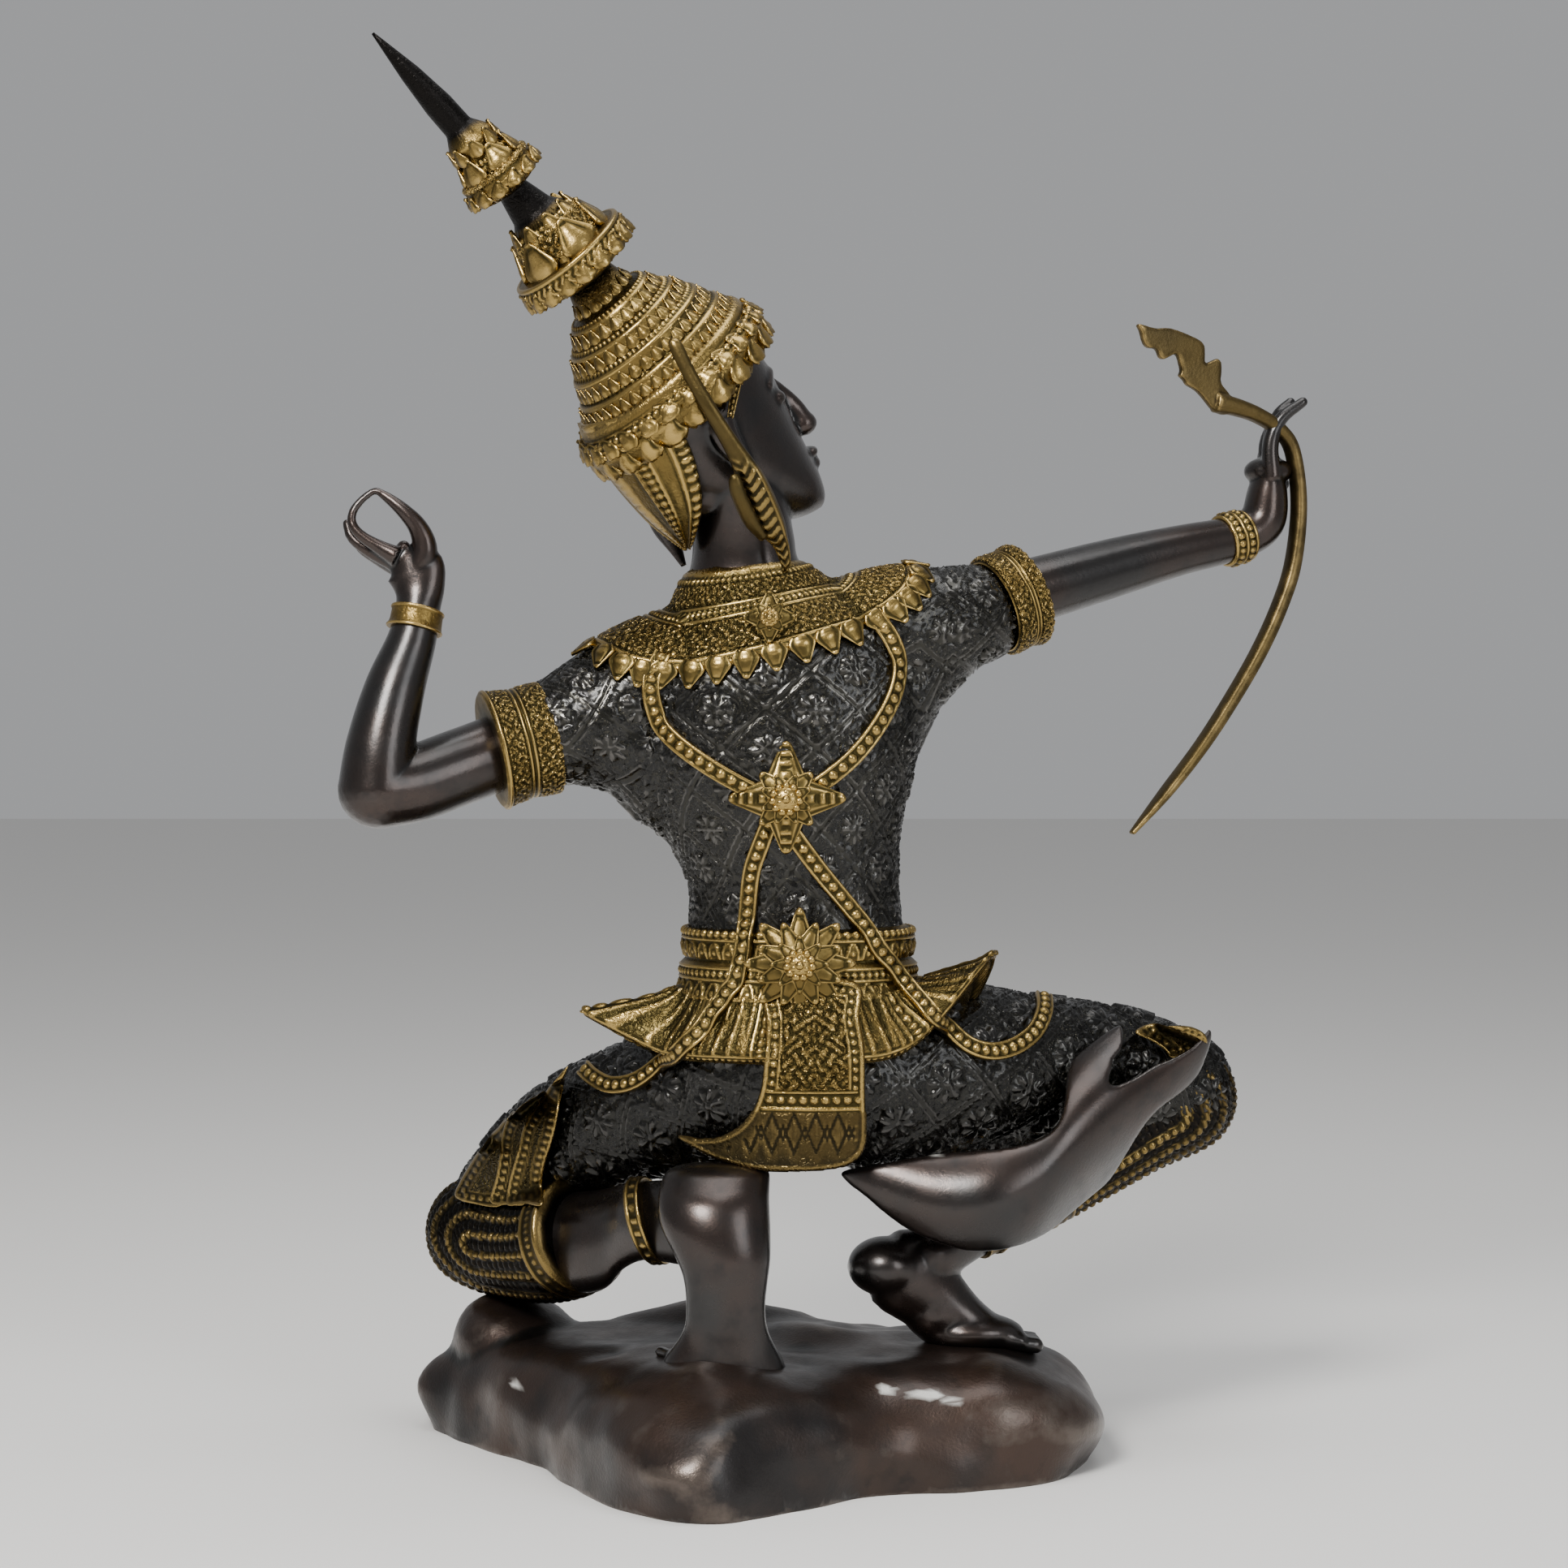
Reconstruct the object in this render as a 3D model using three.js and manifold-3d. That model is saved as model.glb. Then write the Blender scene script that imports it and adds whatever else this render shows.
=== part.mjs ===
// A kneeling archer deity of cast bronze on a rock, with a separate brass bow in the right hand.
// Millimetres, +Z up. The figure's back looks along -Y and its right arm reaches along +X.
import * as THREE from "three";
import { mergeVertices } from "three/addons/utils/BufferGeometryUtils.js";
import Module from "manifold-3d";

const wasm = await Module();
wasm.setup();

// Driving dimensions. Rings of a body are [x, y, z, radius, second radius].
const HEAD_CENTRE = [-78, -14, 523];
const HEAD_TURN = 25; // degrees from +X towards +Y
const HEAD_PITCH = 26; // degrees that the face looks up
const CROWN_LEAN = 17; // degrees that the crown leans back from the head
const SHOULDER_SLOPE = 14; // degrees
const GRIP_GAP = 0.35; // clearance between the hand and the bow
const STRAP_WIDTH = 9;
const STRAP_PROUD = 3;

// The rock: the outline at the ground as [x, y], and the heights of its top.
const ROCK_OUTLINE = [
  [-213, 92], [-203, 60], [-178, 28], [-151, -12], [-132, -58], [-104, -111], [-62, -134], [-23, -111],
  [14, -78], [62, -69], [106, -46], [126, 8], [126, 66], [94, 106], [40, 120], [-40, 134], [-120, 138],
  [-184, 126],
];
const ROCK_CENTRE = [-44, 12];
const ROCK_LEVELS = [
  // height, share of the outline
  [0, 0.975], [9, 1], [26, 1], [41, 0.94], [52, 0.82], [59, 0.6],
];

const TORSO = [
  // x, y, z, radius along x, radius along y, tilt
  [-19, 2, 222, 56, 43, 0], [-22, 1, 258, 53, 37, 0], [-23.5, 0, 288, 51.5, 35.5, 0],
  [-29, 0, 314, 58.5, 39, 2], [-35, 0, 348, 73, 44.5, 6], [-38.5, 0, 384, 77, 44, 10],
  [-40.5, 0, 404, 68, 39, 12], [-44, 0, 421, 43, 31, 13], [-47.5, 0, 442, 25.5, 24, 4],
  [-47.5, -2, 460, 22, 23, -5], [-48, -6, 482, 22, 23, -14],
];
// The muscle that runs from under each sleeve to the ribs.
const ARMPITS = [
  [[-128, -11, 361, 24], [-100, -5, 356, 30, 27], [-78, -1, 336, 24, 28]],
  [[60, 17, 410, 18], [34, 8, 387, 23, 20], [11, 3, 350, 24, 24]],
];
// Sleeve, flared armlet and bare arm in one run; the armlet starts and ends at a step in the radius.
const ARM_LEFT = [
  [-71, 0, 389, 34], [-94, -2, 381, 34, 33.5], [-117, -8, 370, 31, 31], [-142.5, -16, 360, 24.5, 25],
  [-143, -16.2, 359.8, 25.4, 26.8], [-155, -18.5, 357, 24.8, 25.8], [-166.5, -20.6, 355, 27.4, 28],
  [-167.2, -21, 352, 18.6], [-186, -32, 345, 18.6], [-206, -42, 338, 18.6], [-222, -49.5, 335.5, 18.8],
];
const ARM_RIGHT = [
  [0, 3, 404, 30], [25, 6, 411, 29.5], [45, 12, 414, 28.5, 28], [71.5, 24, 420.5, 24, 23.6],
  [72, 24.3, 420.8, 24.6, 25.2], [82, 29, 425, 23.6, 24], [92.5, 33.6, 429.4, 25.4, 25.2],
  [93.2, 34, 430, 16.4], [138, 57, 442.5, 14.8], [171, 72, 451, 12.8], [195.5, 84, 456, 11.8],
  [196.5, 84.6, 456.3, 13.2], [206.5, 89.6, 459, 12.8], [207.4, 90, 459.2, 11.4], [217, 93, 467, 12.6, 11.8],
  [219.5, 94.4, 481, 13.4, 10.4], [220, 95, 492, 12.6, 7.6],
];
const FOREARM_LEFT = [
  [-223, -50, 335.5, 18.6], [-221, -49, 356, 16.8], [-214.8, -44, 383, 14.6], [-206.8, -38.5, 407, 11.8],
  [-206.4, -38, 410.5, 13.1], [-204.4, -35, 422, 12.8], [-204, -34.8, 423, 10.8], [-203.5, -34, 432, 9, 12.4],
  [-205, -34, 442, 7.5, 15], [-211, -34, 452, 6.5, 13.6], [-216, -34, 458, 5, 8.6],
];
const FINGERS = [
  // the left hand: the thumb and first finger meet in a ring, and three fingers curl beside them
  [[-200, -36, 446, 7.4], [-202, -37, 459, 6.2], [-209, -38, 469, 4.4], [-225, -36.5, 478.5, 2.8]],
  [[-218, -38, 452, 5], [-230, -39, 455.5, 3.9], [-236.5, -38, 465, 3.3], [-227, -36, 478, 2.8]],
  [[-219, -32.5, 448, 4.6], [-235, -32, 452, 3.8], [-233, -30.5, 463, 3]],
  [[-218, -27, 444, 4.4], [-232, -26, 447, 3.6], [-230, -25, 456, 2.8]],
  // the right hand: four fingers laid up along the bow, and the thumb behind it
  [[221, 85.5, 488, 4.8], [220, 85.5, 505, 4.2], [225, 85.5, 518, 3.4], [238, 86, 528, 2.4]],
  [[222.5, 92.5, 490, 4.6], [220.5, 92, 507, 4], [224.5, 92, 520, 3.4], [232, 92.5, 528, 2.6]],
  [[221, 99, 488, 4.6], [219.5, 98.5, 507, 3.8], [228, 99, 524, 2.6]],
  [[220, 105, 484, 4.2], [219, 104.5, 501, 3.4], [226, 104.5, 516, 2.4]],
  [[215, 103, 468, 5.2], [222, 108, 478, 4.6], [230, 108, 487, 3.4]],
];

const PELVIS = { at: [-18, 0, 196], radii: [64, 50, 50] };
const THIGHS = [
  [
    [-38, 4, 190, 42], [-84, 34, 176, 36.5], [-124, 64, 158.5, 33], [-148, 82, 142, 30.5],
    [-169, 97, 118, 28], [-184, 104, 98, 25],
  ],
  [
    [4, 0, 190, 44], [52, 20, 192, 44], [92, 39, 190, 39], [118, 52, 189, 35.5],
    [146, 66, 185, 33], [172, 78, 177, 29.5],
  ],
];
// Trouser cuff, bare shin, anklet and ankle in one run.
const SHINS = [
  [
    [-184, 104, 99, 26], [-168, 88, 98.5, 30], [-146, 64, 101.5, 29.6], [-133, 48, 105.5, 26.6],
    [-132.4, 47.4, 106, 24], [-118, 28, 114, 22.6], [-102.5, 8.4, 120, 20.4], [-102, 8, 120.2, 21.8],
    [-92, -7, 124, 20.8], [-91.5, -7.6, 124.4, 18], [-80, -24, 130, 16.5], [-70, -38, 134, 17],
  ],
  [
    [173, 79, 173, 28.6], [152, 70, 163, 26.8], [130, 60, 150, 24.6], [95, 42, 128.5, 20.4],
    [94.4, 41.6, 128, 17.4], [76, 31.4, 117, 15], [75.4, 31, 116.7, 16.6], [66, 26, 112, 15.6],
    [65.4, 25.6, 111.6, 13.8], [44, 13, 102, 16],
  ],
];
const FOOT_LEFT = [
  // the left foot stands on its toes with the sole towards -Y
  [-60, -42, 53, 27, 21], [-59, -44, 61, 24, 18], [-58, -50, 70, 20.5, 13], [-57.5, -53, 84, 18.4, 12],
  [-57.5, -53, 99, 18.6, 13.5], [-58, -52, 115, 20, 17], [-58, -50, 131, 21, 19.5], [-58, -47, 146, 19.5, 17],
  [-58, -45, 154, 14, 12],
];
const FOOT_RIGHT = [
  [22, 6, 97, 19, 15], [31, 9, 93, 21.5, 16.5], [43, 13, 82.5, 19, 16], [55, 16, 72.5, 15.5, 16],
  [67, 18, 65.5, 11.5, 17], [79, 20, 61, 8, 18], [90, 21, 59, 6, 18.5],
];
const TOE_ROWS = [
  // big toe's root, step from toe to toe, reach, root radius
  { at: [-47, -30, 61], step: [-8.6, -2.6, 0], reach: [-8, 17, -1], r: 5.6 },
  { at: [84, 8, 58.5], step: [0.4, 7.2, -0.2], reach: [14, 2, -2], r: 5 },
];

// Face rings in the head's own frame: forward of the skull's centre, up, radius forward, radius sideways.
const FACE = [
  [38, -78, 8, 8], [33, -73, 16, 15], [25, -62, 25, 22], [15, -48, 34, 28], [8, -32, 40, 31.5],
  [3, -15, 44.5, 34.5], [-1, 4, 47, 37], [-3, 26, 42, 35],
];

// Crown rings along its own axis: height, radius, forward shift, share of the radius sideways, leaf height.
const CROWN = [
  [-10, 47, -1, 0.84, 0], [-6, 52, -1, 0.86, 0], [4, 53.5, 1, 0.87, 0], [11, 50.5, 1.5, 0.88, -4.5],
  [10, 46.5, 2, 0.88, -4], [18, 44, 2.4, 0.9, 0], [21, 40, 2.4, 0.92, 0], [29, 38, 2, 0.96, 0],
  [32, 34, 2, 0.97, 0], [39, 31, 2, 1, 0], [42, 26.5, 2, 1, 0], [50, 22, 2.4, 1, 0],
  [53, 16, 2.4, 1, 0], [68, 11.8, 3, 1, 0],
];
const CROWN_TIERS = [
  [66, 11.4, 3, 1, 0], [68.5, 25, 3, 1, 0], [74, 31, 3, 1, 0], [82, 29, 3, 1, -4], [82, 22.5, 3, 1, -3],
  [98, 18, 3, 1, -2], [107, 11, 2.6, 1, 0], [121, 7.6, 2, 1, 0],
  [125, 17, 1.8, 1, 0], [129, 20, 1.8, 1, 0], [135, 18, 1.8, 1, -3], [135, 14.4, 1.8, 1, -2],
  [147, 10.6, 1.6, 1, 0], [152, 12.4, 1.6, 1, -2.5], [160, 7.2, 1.2, 1, 0], [174, 7, 0.8, 1, 0],
  [194, 4.9, 0, 1, 0], [220, 0.9, -1.4, 1, 0],
];
const CROWN_SIDES = [16, 10];
const FRONTLET = { height: 8, leaves: 3, spread: 26 };

const COLLAR = [
  // x, y, z, radius along x, radius along y, tilt, sag, point
  [-39, 0, 404, 62, 36, SHOULDER_SLOPE, 10, 0], [-40, 0, 411, 77, 47, SHOULDER_SLOPE, 8, 5],
  [-43, 0, 425, 54, 38, SHOULDER_SLOPE - 1, 4, 0], [-46.5, 0, 438, 27.6, 26.6, 7, 0, 0],
];
const COLLAR_POINTS = 16;
const BELT = [
  // z, radius along x, radius along y
  [232, 60, 45.5], [240, 58, 43], [249, 57.6, 42.2], [251, 54.8, 39.8], [257, 56.4, 40.6],
  [265, 56, 40.2], [267, 53.4, 38],
];
const SKIRT = { x: -20, y: 2, sides: 24 };
const SKIRT_RINGS = [
  // z, radius along x, radius along y, share of a corner's reach, share of its lift
  [205, 70, 50, 0, 0], [210, 81, 57, 1, 1], [216, 79, 56, 0.86, 1.08], [227, 66, 50, 0.3, 0.5],
  [240, 56, 43, 0, 0],
];
// The four upturned corners of the skirt: angle about +Z from +X, extra reach, lift.
const SKIRT_TIPS = [[-14, 19, 42], [26, 16, 30], [154, 14, 10], [197, 27, 14]];

// Straps over the back as [x, z]; they are laid on the body.
const STRAPS = [
  [[-86, 400], [-92.5, 385], [-87, 366], [-66, 348], [-34, 330]],
  [[15, 419], [25.5, 403], [24, 380], [6, 352], [-22, 330]],
  [[-36, 318], [-42, 294], [-47, 268], [-56, 242], [-70, 221]],
  [[-22, 310], [-6, 286], [9, 262], [27, 239], [46, 221]],
];
const SWAGS = [
  [[-74, 214], [-90, 193], [-112, 184], [-133, 190]],
  [[50, 214], [66, 203], [88, 206], [98, 224]],
];
const ROSETTES = [
  // x, z, petals, long reach, short reach
  [-35, 418, 6, 13, 11], [-28, 331, 4, 29, 25], [-19, 247, 8, 25, 22],
];
// The back panel of the sash: rings down its length as [x, y, z, half width].
const BACK_PANEL = [
  [-17, -45, 230, 18], [-16, -50, 210, 20.5], [-13, -49, 189, 25], [-16, -49, 177, 26.5], [-23, -48, 167, 29],
  [-29, -47, 160, 28], [-33, -46, 156, 18],
];
const BACK_PANEL_TIP = [[-44, -48, 165, 7], [-60, -49, 162, 4.6], [-76, -50, 166, 1.2]];
const FRONT_PANEL = [
  [-17, 44, 232, 15], [-16, 52, 212, 18], [-15, 51, 188, 20], [-13, 44, 168, 20], [-10, 30, 158, 18],
];
// The plain back of the swinging sash end: a curved sheet as [x, y, z, half width, turn].
const SASH_END = [
  [2, -8, 146, 8], [24, -15, 138, 18], [48, -19, 132, 25.5], [72, -20, 134, 28], [94, -14, 143, 27],
  [114, -5, 159, 24], [138, 10, 177, 17.5], [160, 26, 191, 11.5], [181, 38, 212, 2.5],
];
const SASH_FORK = [
  [98, -12, 152, 15], [106, -6, 172, 19], [112, 2, 186, 16], [121, 7, 198, 11], [130, 11, 208, 6],
  [137, 14, 216, 2],
];
const SHEET_THICK = 3.6;

// Flame ornaments on the outer side of the knees: foot point, tip, width.
const KNEE_FLAMES = [
  [[-143, 47, 155], [-134, 57, 199], 26], [[-158, 58, 138], [-157, 67, 186], 26],
  [[-172, 74, 116], [-174, 82, 164], 24], [[158, 56, 184], [188, 68, 205], 18],
];
const EAR_DROPS = [
  [
    [-83, -50, 549, 2.4], [-67, -54.5, 514, 4], [-57, -52, 495, 5], [-46, -45, 475, 7.8], [-36, -37, 459, 7],
    [-26, -28, 439, 1.4],
  ],
  [[-104, 20, 549, 2.4], [-91, 31, 500, 5], [-85, 32, 478, 7.4], [-79, 29, 460, 7], [-73, 25, 443, 1.6]],
];
const EAR_HOOK = [[-54, -48, 486, 2], [-49, -47, 474, 3.6], [-42, -42, 462, 4]];
const NAPE_FLAP = [[-46, 8, 27], [-41, -12, 25.5], [-32, -30, 22], [-23, -50, 14], [-17, -63, 3]];

// The bow, in an upright plane turned 25 degrees: [x, z, half the bar's height].
const BOW_LINE = [
  [190, 526, 6.5], [201, 524, 5.8], [213, 520, 5], [224.5, 513, 4.6], [232, 502, 4.2], [235.6, 476, 4.3],
  [232.8, 446, 4.8], [225.8, 424, 4.8], [215, 401, 4.8], [201, 377.5, 4.6], [184, 352.5, 4.2],
  [165, 329, 3.4], [147, 308.5, 1.6],
];
const BOW_DEPTH = 5.2; // half the bar's width across its plane
const BOW_FLAME = [
  [149, 564.5], [158, 562.5], [165.5, 562.8], [175, 560], [183, 556], [184.3, 550], [184, 545.5],
  [187.2, 546.6], [191.6, 548.2], [193.2, 543.4], [192.8, 536], [198, 529], [196, 520], [189, 522],
  [185, 526.5], [180, 531.6], [174.5, 534.6], [173.6, 536.6], [170.7, 539.2], [171.8, 541.4],
  [170.2, 547.8], [168.8, 550], [162.8, 547], [160.2, 548.2], [158.6, 552], [154, 552.6], [151.6, 556],
  [150.4, 560.6],
];
const BOW_PLANE = { x: 239, y: 95, turn: 25 };

const rad = THREE.MathUtils.degToRad;
const V = (x, y, z) => new THREE.Vector3(x, y, z);

// A closed geometry as a solid, turned the right way out.
function solid(geometry) {
  const g = geometry.clone();
  g.deleteAttribute("normal");
  g.deleteAttribute("uv");
  const merged = mergeVertices(g, 1e-3);
  const triVerts = new Uint32Array(merged.index.array);
  const vertProperties = merged.attributes.position.array;
  const made = new wasm.Manifold(new wasm.Mesh({ numProp: 3, vertProperties, triVerts }));
  if (made.volume() >= 0) return made;
  for (let i = 0; i < triVerts.length; i += 3) {
    [triVerts[i + 1], triVerts[i + 2]] = [triVerts[i + 2], triVerts[i + 1]];
  }
  return new wasm.Manifold(new wasm.Mesh({ numProp: 3, vertProperties, triVerts }));
}

// Joins shapes, given as closed geometries or as solids.
const asSolid = (shape) => (shape instanceof THREE.BufferGeometry ? solid(shape) : shape);
const join = (shapes) => shapes.map(asSolid).reduce((whole, next) => whole.add(next));

// A closed tube: place(i, u, w) gives the point of ring i at the unit circle's (u, w).
function tube(count, sides, place) {
  const g = new THREE.CylinderGeometry(1, 1, 1, sides, count - 1);
  const p = g.attributes.position;
  for (let k = 0; k < p.count; k++) {
    const i = Math.round((0.5 - p.getY(k)) * (count - 1));
    const q = place(i, p.getX(k), p.getZ(k));
    p.setXYZ(k, q.x, q.y, q.z);
  }
  return g;
}

// Rings stacked up +Z, each tilted in the XZ plane; sag lowers the front and back of a ring, and
// point pulls every second vertex down to make a row of leaf points.
function stack(rings, sides) {
  const isPoint = (u, w) => Math.round((Math.atan2(u, w) / (2 * Math.PI)) * sides) % 2 === 0;
  return tube(rings.length, sides, (i, u, w) => {
    const [x, y, z, a, b, tilt = 0, sag = 0, point = 0] = rings[i];
    const t = rad(tilt);
    const drop = isPoint(u, w) ? -point : point;
    return V(x + a * u * Math.cos(t), y + b * w, z + a * u * Math.sin(t) - sag * w * w + drop);
  });
}

// Rings across a path. The first radius lies along side, the second across it; round adds domed ends.
function limb(stations, { sides = 12, side = [0, 1, 0], round = [true, true], square = 1 } = {}) {
  const s = stations.map(([x, y, z, a, b = a]) => ({ c: V(x, y, z), a, b }));
  const dome = (end, from) => {
    const d = end.c.clone().sub(from.c).normalize();
    const r = Math.min(end.a, end.b);
    return [{ c: end.c.clone().addScaledVector(d, r * 0.7), a: end.a * 0.68, b: end.b * 0.68 }];
  };
  const last = s.length - 1;
  const before = round[0] ? dome(s[0], s[1]).reverse() : [];
  const after = round[1] ? dome(s[last], s[last - 1]) : [];
  const all = [...before, ...s, ...after];
  const frames = all.map((_, i) => {
    const t = all[Math.min(i + 1, all.length - 1)].c.clone().sub(all[Math.max(i - 1, 0)].c).normalize();
    const u = V(...side).addScaledVector(t, -V(...side).dot(t)).normalize();
    return { u, w: t.clone().cross(u) };
  });
  const soften = (v) => Math.sign(v) * Math.abs(v) ** square;
  return tube(all.length, sides, (i, u, w) => all[i].c.clone()
    .addScaledVector(frames[i].u, all[i].a * soften(u))
    .addScaledVector(frames[i].w, all[i].b * soften(w)));
}

// A ball with three radii, placed at a point.
function ball(at, radii, detail = 1) {
  const g = new THREE.IcosahedronGeometry(1, detail);
  return g.scale(...radii).translate(...at);
}

// A pointed leaf with a diamond section from foot to tip; flat lies along its thin direction.
function leaf(foot, tip, width, thick, flat) {
  const g = new THREE.ConeGeometry(1, 1, 4);
  const along = tip.clone().sub(foot);
  const length = along.length();
  along.normalize();
  const f = flat.clone().addScaledVector(along, -flat.dot(along)).normalize();
  const across = along.clone().cross(f);
  g.translate(0, 0.5, 0);
  across.multiplyScalar(width / 2);
  along.multiplyScalar(length);
  f.multiplyScalar(thick / 2);
  return g.applyMatrix4(new THREE.Matrix4().makeBasis(across, along, f).setPosition(foot));
}

// The head's frame (x forward, z up) and the crown's frame (z along its axis), as matrices.
const headFrame = new THREE.Matrix4().makeRotationZ(rad(HEAD_TURN))
  .multiply(new THREE.Matrix4().makeRotationY(-rad(HEAD_PITCH))).setPosition(...HEAD_CENTRE);
const crownFrame = headFrame.clone()
  .multiply(new THREE.Matrix4().makeTranslation(-2, 0, 10))
  .multiply(new THREE.Matrix4().makeRotationY(-rad(CROWN_LEAN)));
const inFrame = (shapes, frame) => shapes.map((shape) => shape.applyMatrix4(frame));

function makeRock() {
  const [cx, cy] = ROCK_CENTRE;
  const curve = new THREE.CatmullRomCurve3(ROCK_OUTLINE.map(([x, y]) => V(x, y, 0)), true, "centripetal");
  const sides = 24;
  // Folds in the rock's flank swell and sink the outline, and die out at the ground.
  const fold = (k, z) => 1 + 0.035 * Math.sin((k / sides) * Math.PI * 14 + z * 0.05) * Math.min(1, z / 20);
  const body = tube(ROCK_LEVELS.length, sides, (i, u, w) => {
    const [z, share] = ROCK_LEVELS[ROCK_LEVELS.length - 1 - i];
    const reach = Math.hypot(u, w);
    const k = ((Math.atan2(w, u) / (2 * Math.PI)) + 1) % 1;
    const p = curve.getPoint(k);
    const s = reach * share * fold(k * sides, z);
    return V(cx + (p.x - cx) * s, cy + (p.y - cy) * s, z);
  });
  return join([
    body,
    ball([-166, 88, 44], [38, 40, 28]),
    ball([-58, -52, 42], [52, 44, 19]),
    ball([-66, 86, 42], [72, 40, 25]),
  ]).subtract(solid(new THREE.BoxGeometry(600, 600, 100).translate(0, 0, -50)));
}

function makeBody() {
  return join([
    stack(TORSO, 14),
    ...ARMPITS.map((a) => limb(a, { sides: 8, round: [false, false] })),
    ball(PELVIS.at, PELVIS.radii, 1),
    ...THIGHS.map((t) => limb(t, { sides: 10, round: [false, true] })),
  ]);
}

function makeLimbs() {
  const open = { sides: 8, round: [false, false] };
  return join([
    limb(ARM_LEFT, open),
    limb(ARM_RIGHT, open),
    limb(FOREARM_LEFT, { ...open, round: [true, false] }),
    ...FINGERS.map((f) => limb(f, { sides: 4, round: [false, true] })),
    ...SHINS.map((t) => limb(t, { ...open, round: [true, false] })),
    stack(FOOT_LEFT, 8),
    limb(FOOT_RIGHT, { ...open, side: [0, 0, 1], round: [true, false] }),
    ...TOE_ROWS.map(toes),
  ]);
}

// Five toes side by side in one run: full at each toe, drawn in between two toes.
function toes({ at, step, reach, r }) {
  const length = Math.hypot(...reach);
  return limb(Array.from({ length: 9 }, (_, k) => {
    const toe = k % 2 === 0;
    const shrink = 1 - 0.04 * k;
    const middle = at.map((v, c) => v + (step[c] * k) / 2 + reach[c] * (toe ? 0.5 : 0.38));
    return [...middle, length * shrink * (toe ? 0.56 : 0.4), r * shrink * (toe ? 1 : 0.7)];
  }), { sides: 5, side: reach, round: [false, false] });
}

function makeHead() {
  const near = [-1, 1];
  return join(inFrame([
    stack(FACE.map(([f, u, a, b]) => [f, 0, u, a, b]), 12),
    limb([[44, 0, -9, 3, 3], [53, 0, -27, 4.2, 5], [54.5, 0, -38, 8, 6.4]], { sides: 5, round: [false, true] }),
    ball([49, 0, -52], [6.5, 10, 3.6], 0),
    ball([48, 0, -58], [6.5, 8.5, 3.8], 0),
    ball([40, 0, -68], [10, 9.5, 8]),
    ...near.map((n) => ball([41, n * 14, -17], [6, 9, 4], 0)),
    ...near.map(brow),
    ...near.map(ear),
  ], headFrame));
}

function brow(n) {
  const line = [[47, n * 4, -11, 2], [46, n * 13, -6, 2.2], [38, n * 24, -11, 1.6]];
  return limb(line, { sides: 4, round: [false, false] });
}

function ear(n) {
  const line = [[1, n * 35, -8, 5, 3], [0, n * 36.5, -22, 6, 3.2], [4, n * 34.5, -40, 3.4, 2.6]];
  return limb(line, { sides: 5, side: [1, 0, 0], round: [false, false] });
}

function makeCrown() {
  const open = { sides: 4, round: [false, false] };
  const flat = ([x, y, z, r]) => [x, y, z, r, r * 0.66];
  const ring = ([z, r, shift, share, point]) => [shift, 0, z, r, r * share, 0, 0, point];
  const tiers = [CROWN, CROWN_TIERS].map((rings, n) => stack(rings.map(ring), CROWN_SIDES[n]));
  const front = Array.from({ length: FRONTLET.leaves }, (_, k) => {
    const a = rad((k - (FRONTLET.leaves - 1) / 2) * FRONTLET.spread);
    const out = V(Math.cos(a), Math.sin(a) * 0.87, 0);
    const foot = out.clone().multiplyScalar(48).add(V(1, 0, -10));
    return leaf(foot, out.clone().multiplyScalar(56).add(V(1, 0, FRONTLET.height)), 24, 10, out);
  });
  const flap = limb(NAPE_FLAP.map(([f, u, half]) => [f, 0, u, half, 3.6]), { ...open, sides: 6 });
  return join([
    ...inFrame([...tiers, ...front], crownFrame),
    ...inFrame([flap], headFrame),
    ...EAR_DROPS.map((drop) => limb(drop.map(flat), { ...open, side: [1, 0, -0.4] })),
    limb(EAR_HOOK, open),
  ]);
}

// Finds the point and the outward side of the body's back under [x, z].
function backOf(body) {
  const m = body.getMesh();
  const g = new THREE.BufferGeometry()
    .setAttribute("position", new THREE.BufferAttribute(new Float32Array(m.vertProperties), 3))
    .setIndex(new THREE.BufferAttribute(m.triVerts, 1));
  const target = new THREE.Mesh(g, new THREE.MeshBasicMaterial({ side: THREE.DoubleSide }));
  const caster = new THREE.Raycaster();
  return (x, z) => {
    caster.set(V(x, -400, z), V(0, 1, 0));
    const hit = caster.intersectObject(target)[0];
    return hit ? { at: hit.point, out: hit.face.normal.clone() } : { at: V(x, 0, z), out: V(0, -1, 0) };
  };
}

// A flat band laid along points on the back.
function band(points, onBack, width, proud) {
  const curve = new THREE.CatmullRomCurve3(points.map(([x, z]) => V(x, 0, z)));
  const steps = points.length;
  const laid = curve.getSpacedPoints(steps).map((p) => onBack(p.x, p.z));
  const frames = laid.map((_, i) => {
    const a = laid[Math.max(i - 1, 0)];
    const b = laid[Math.min(i + 1, steps)];
    const along = b.at.clone().sub(a.at).normalize();
    const out = laid[i].out.clone().add(a.out).add(b.out).normalize();
    return { out, across: along.clone().cross(out).normalize() };
  });
  return tube(steps + 1, 4, (i, u, w) => {
    const side = u - w;
    const lift = u + w;
    return laid[i].at.clone()
      .addScaledVector(frames[i].across, (side * width) / 2)
      .addScaledVector(frames[i].out, lift * proud);
  });
}

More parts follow.
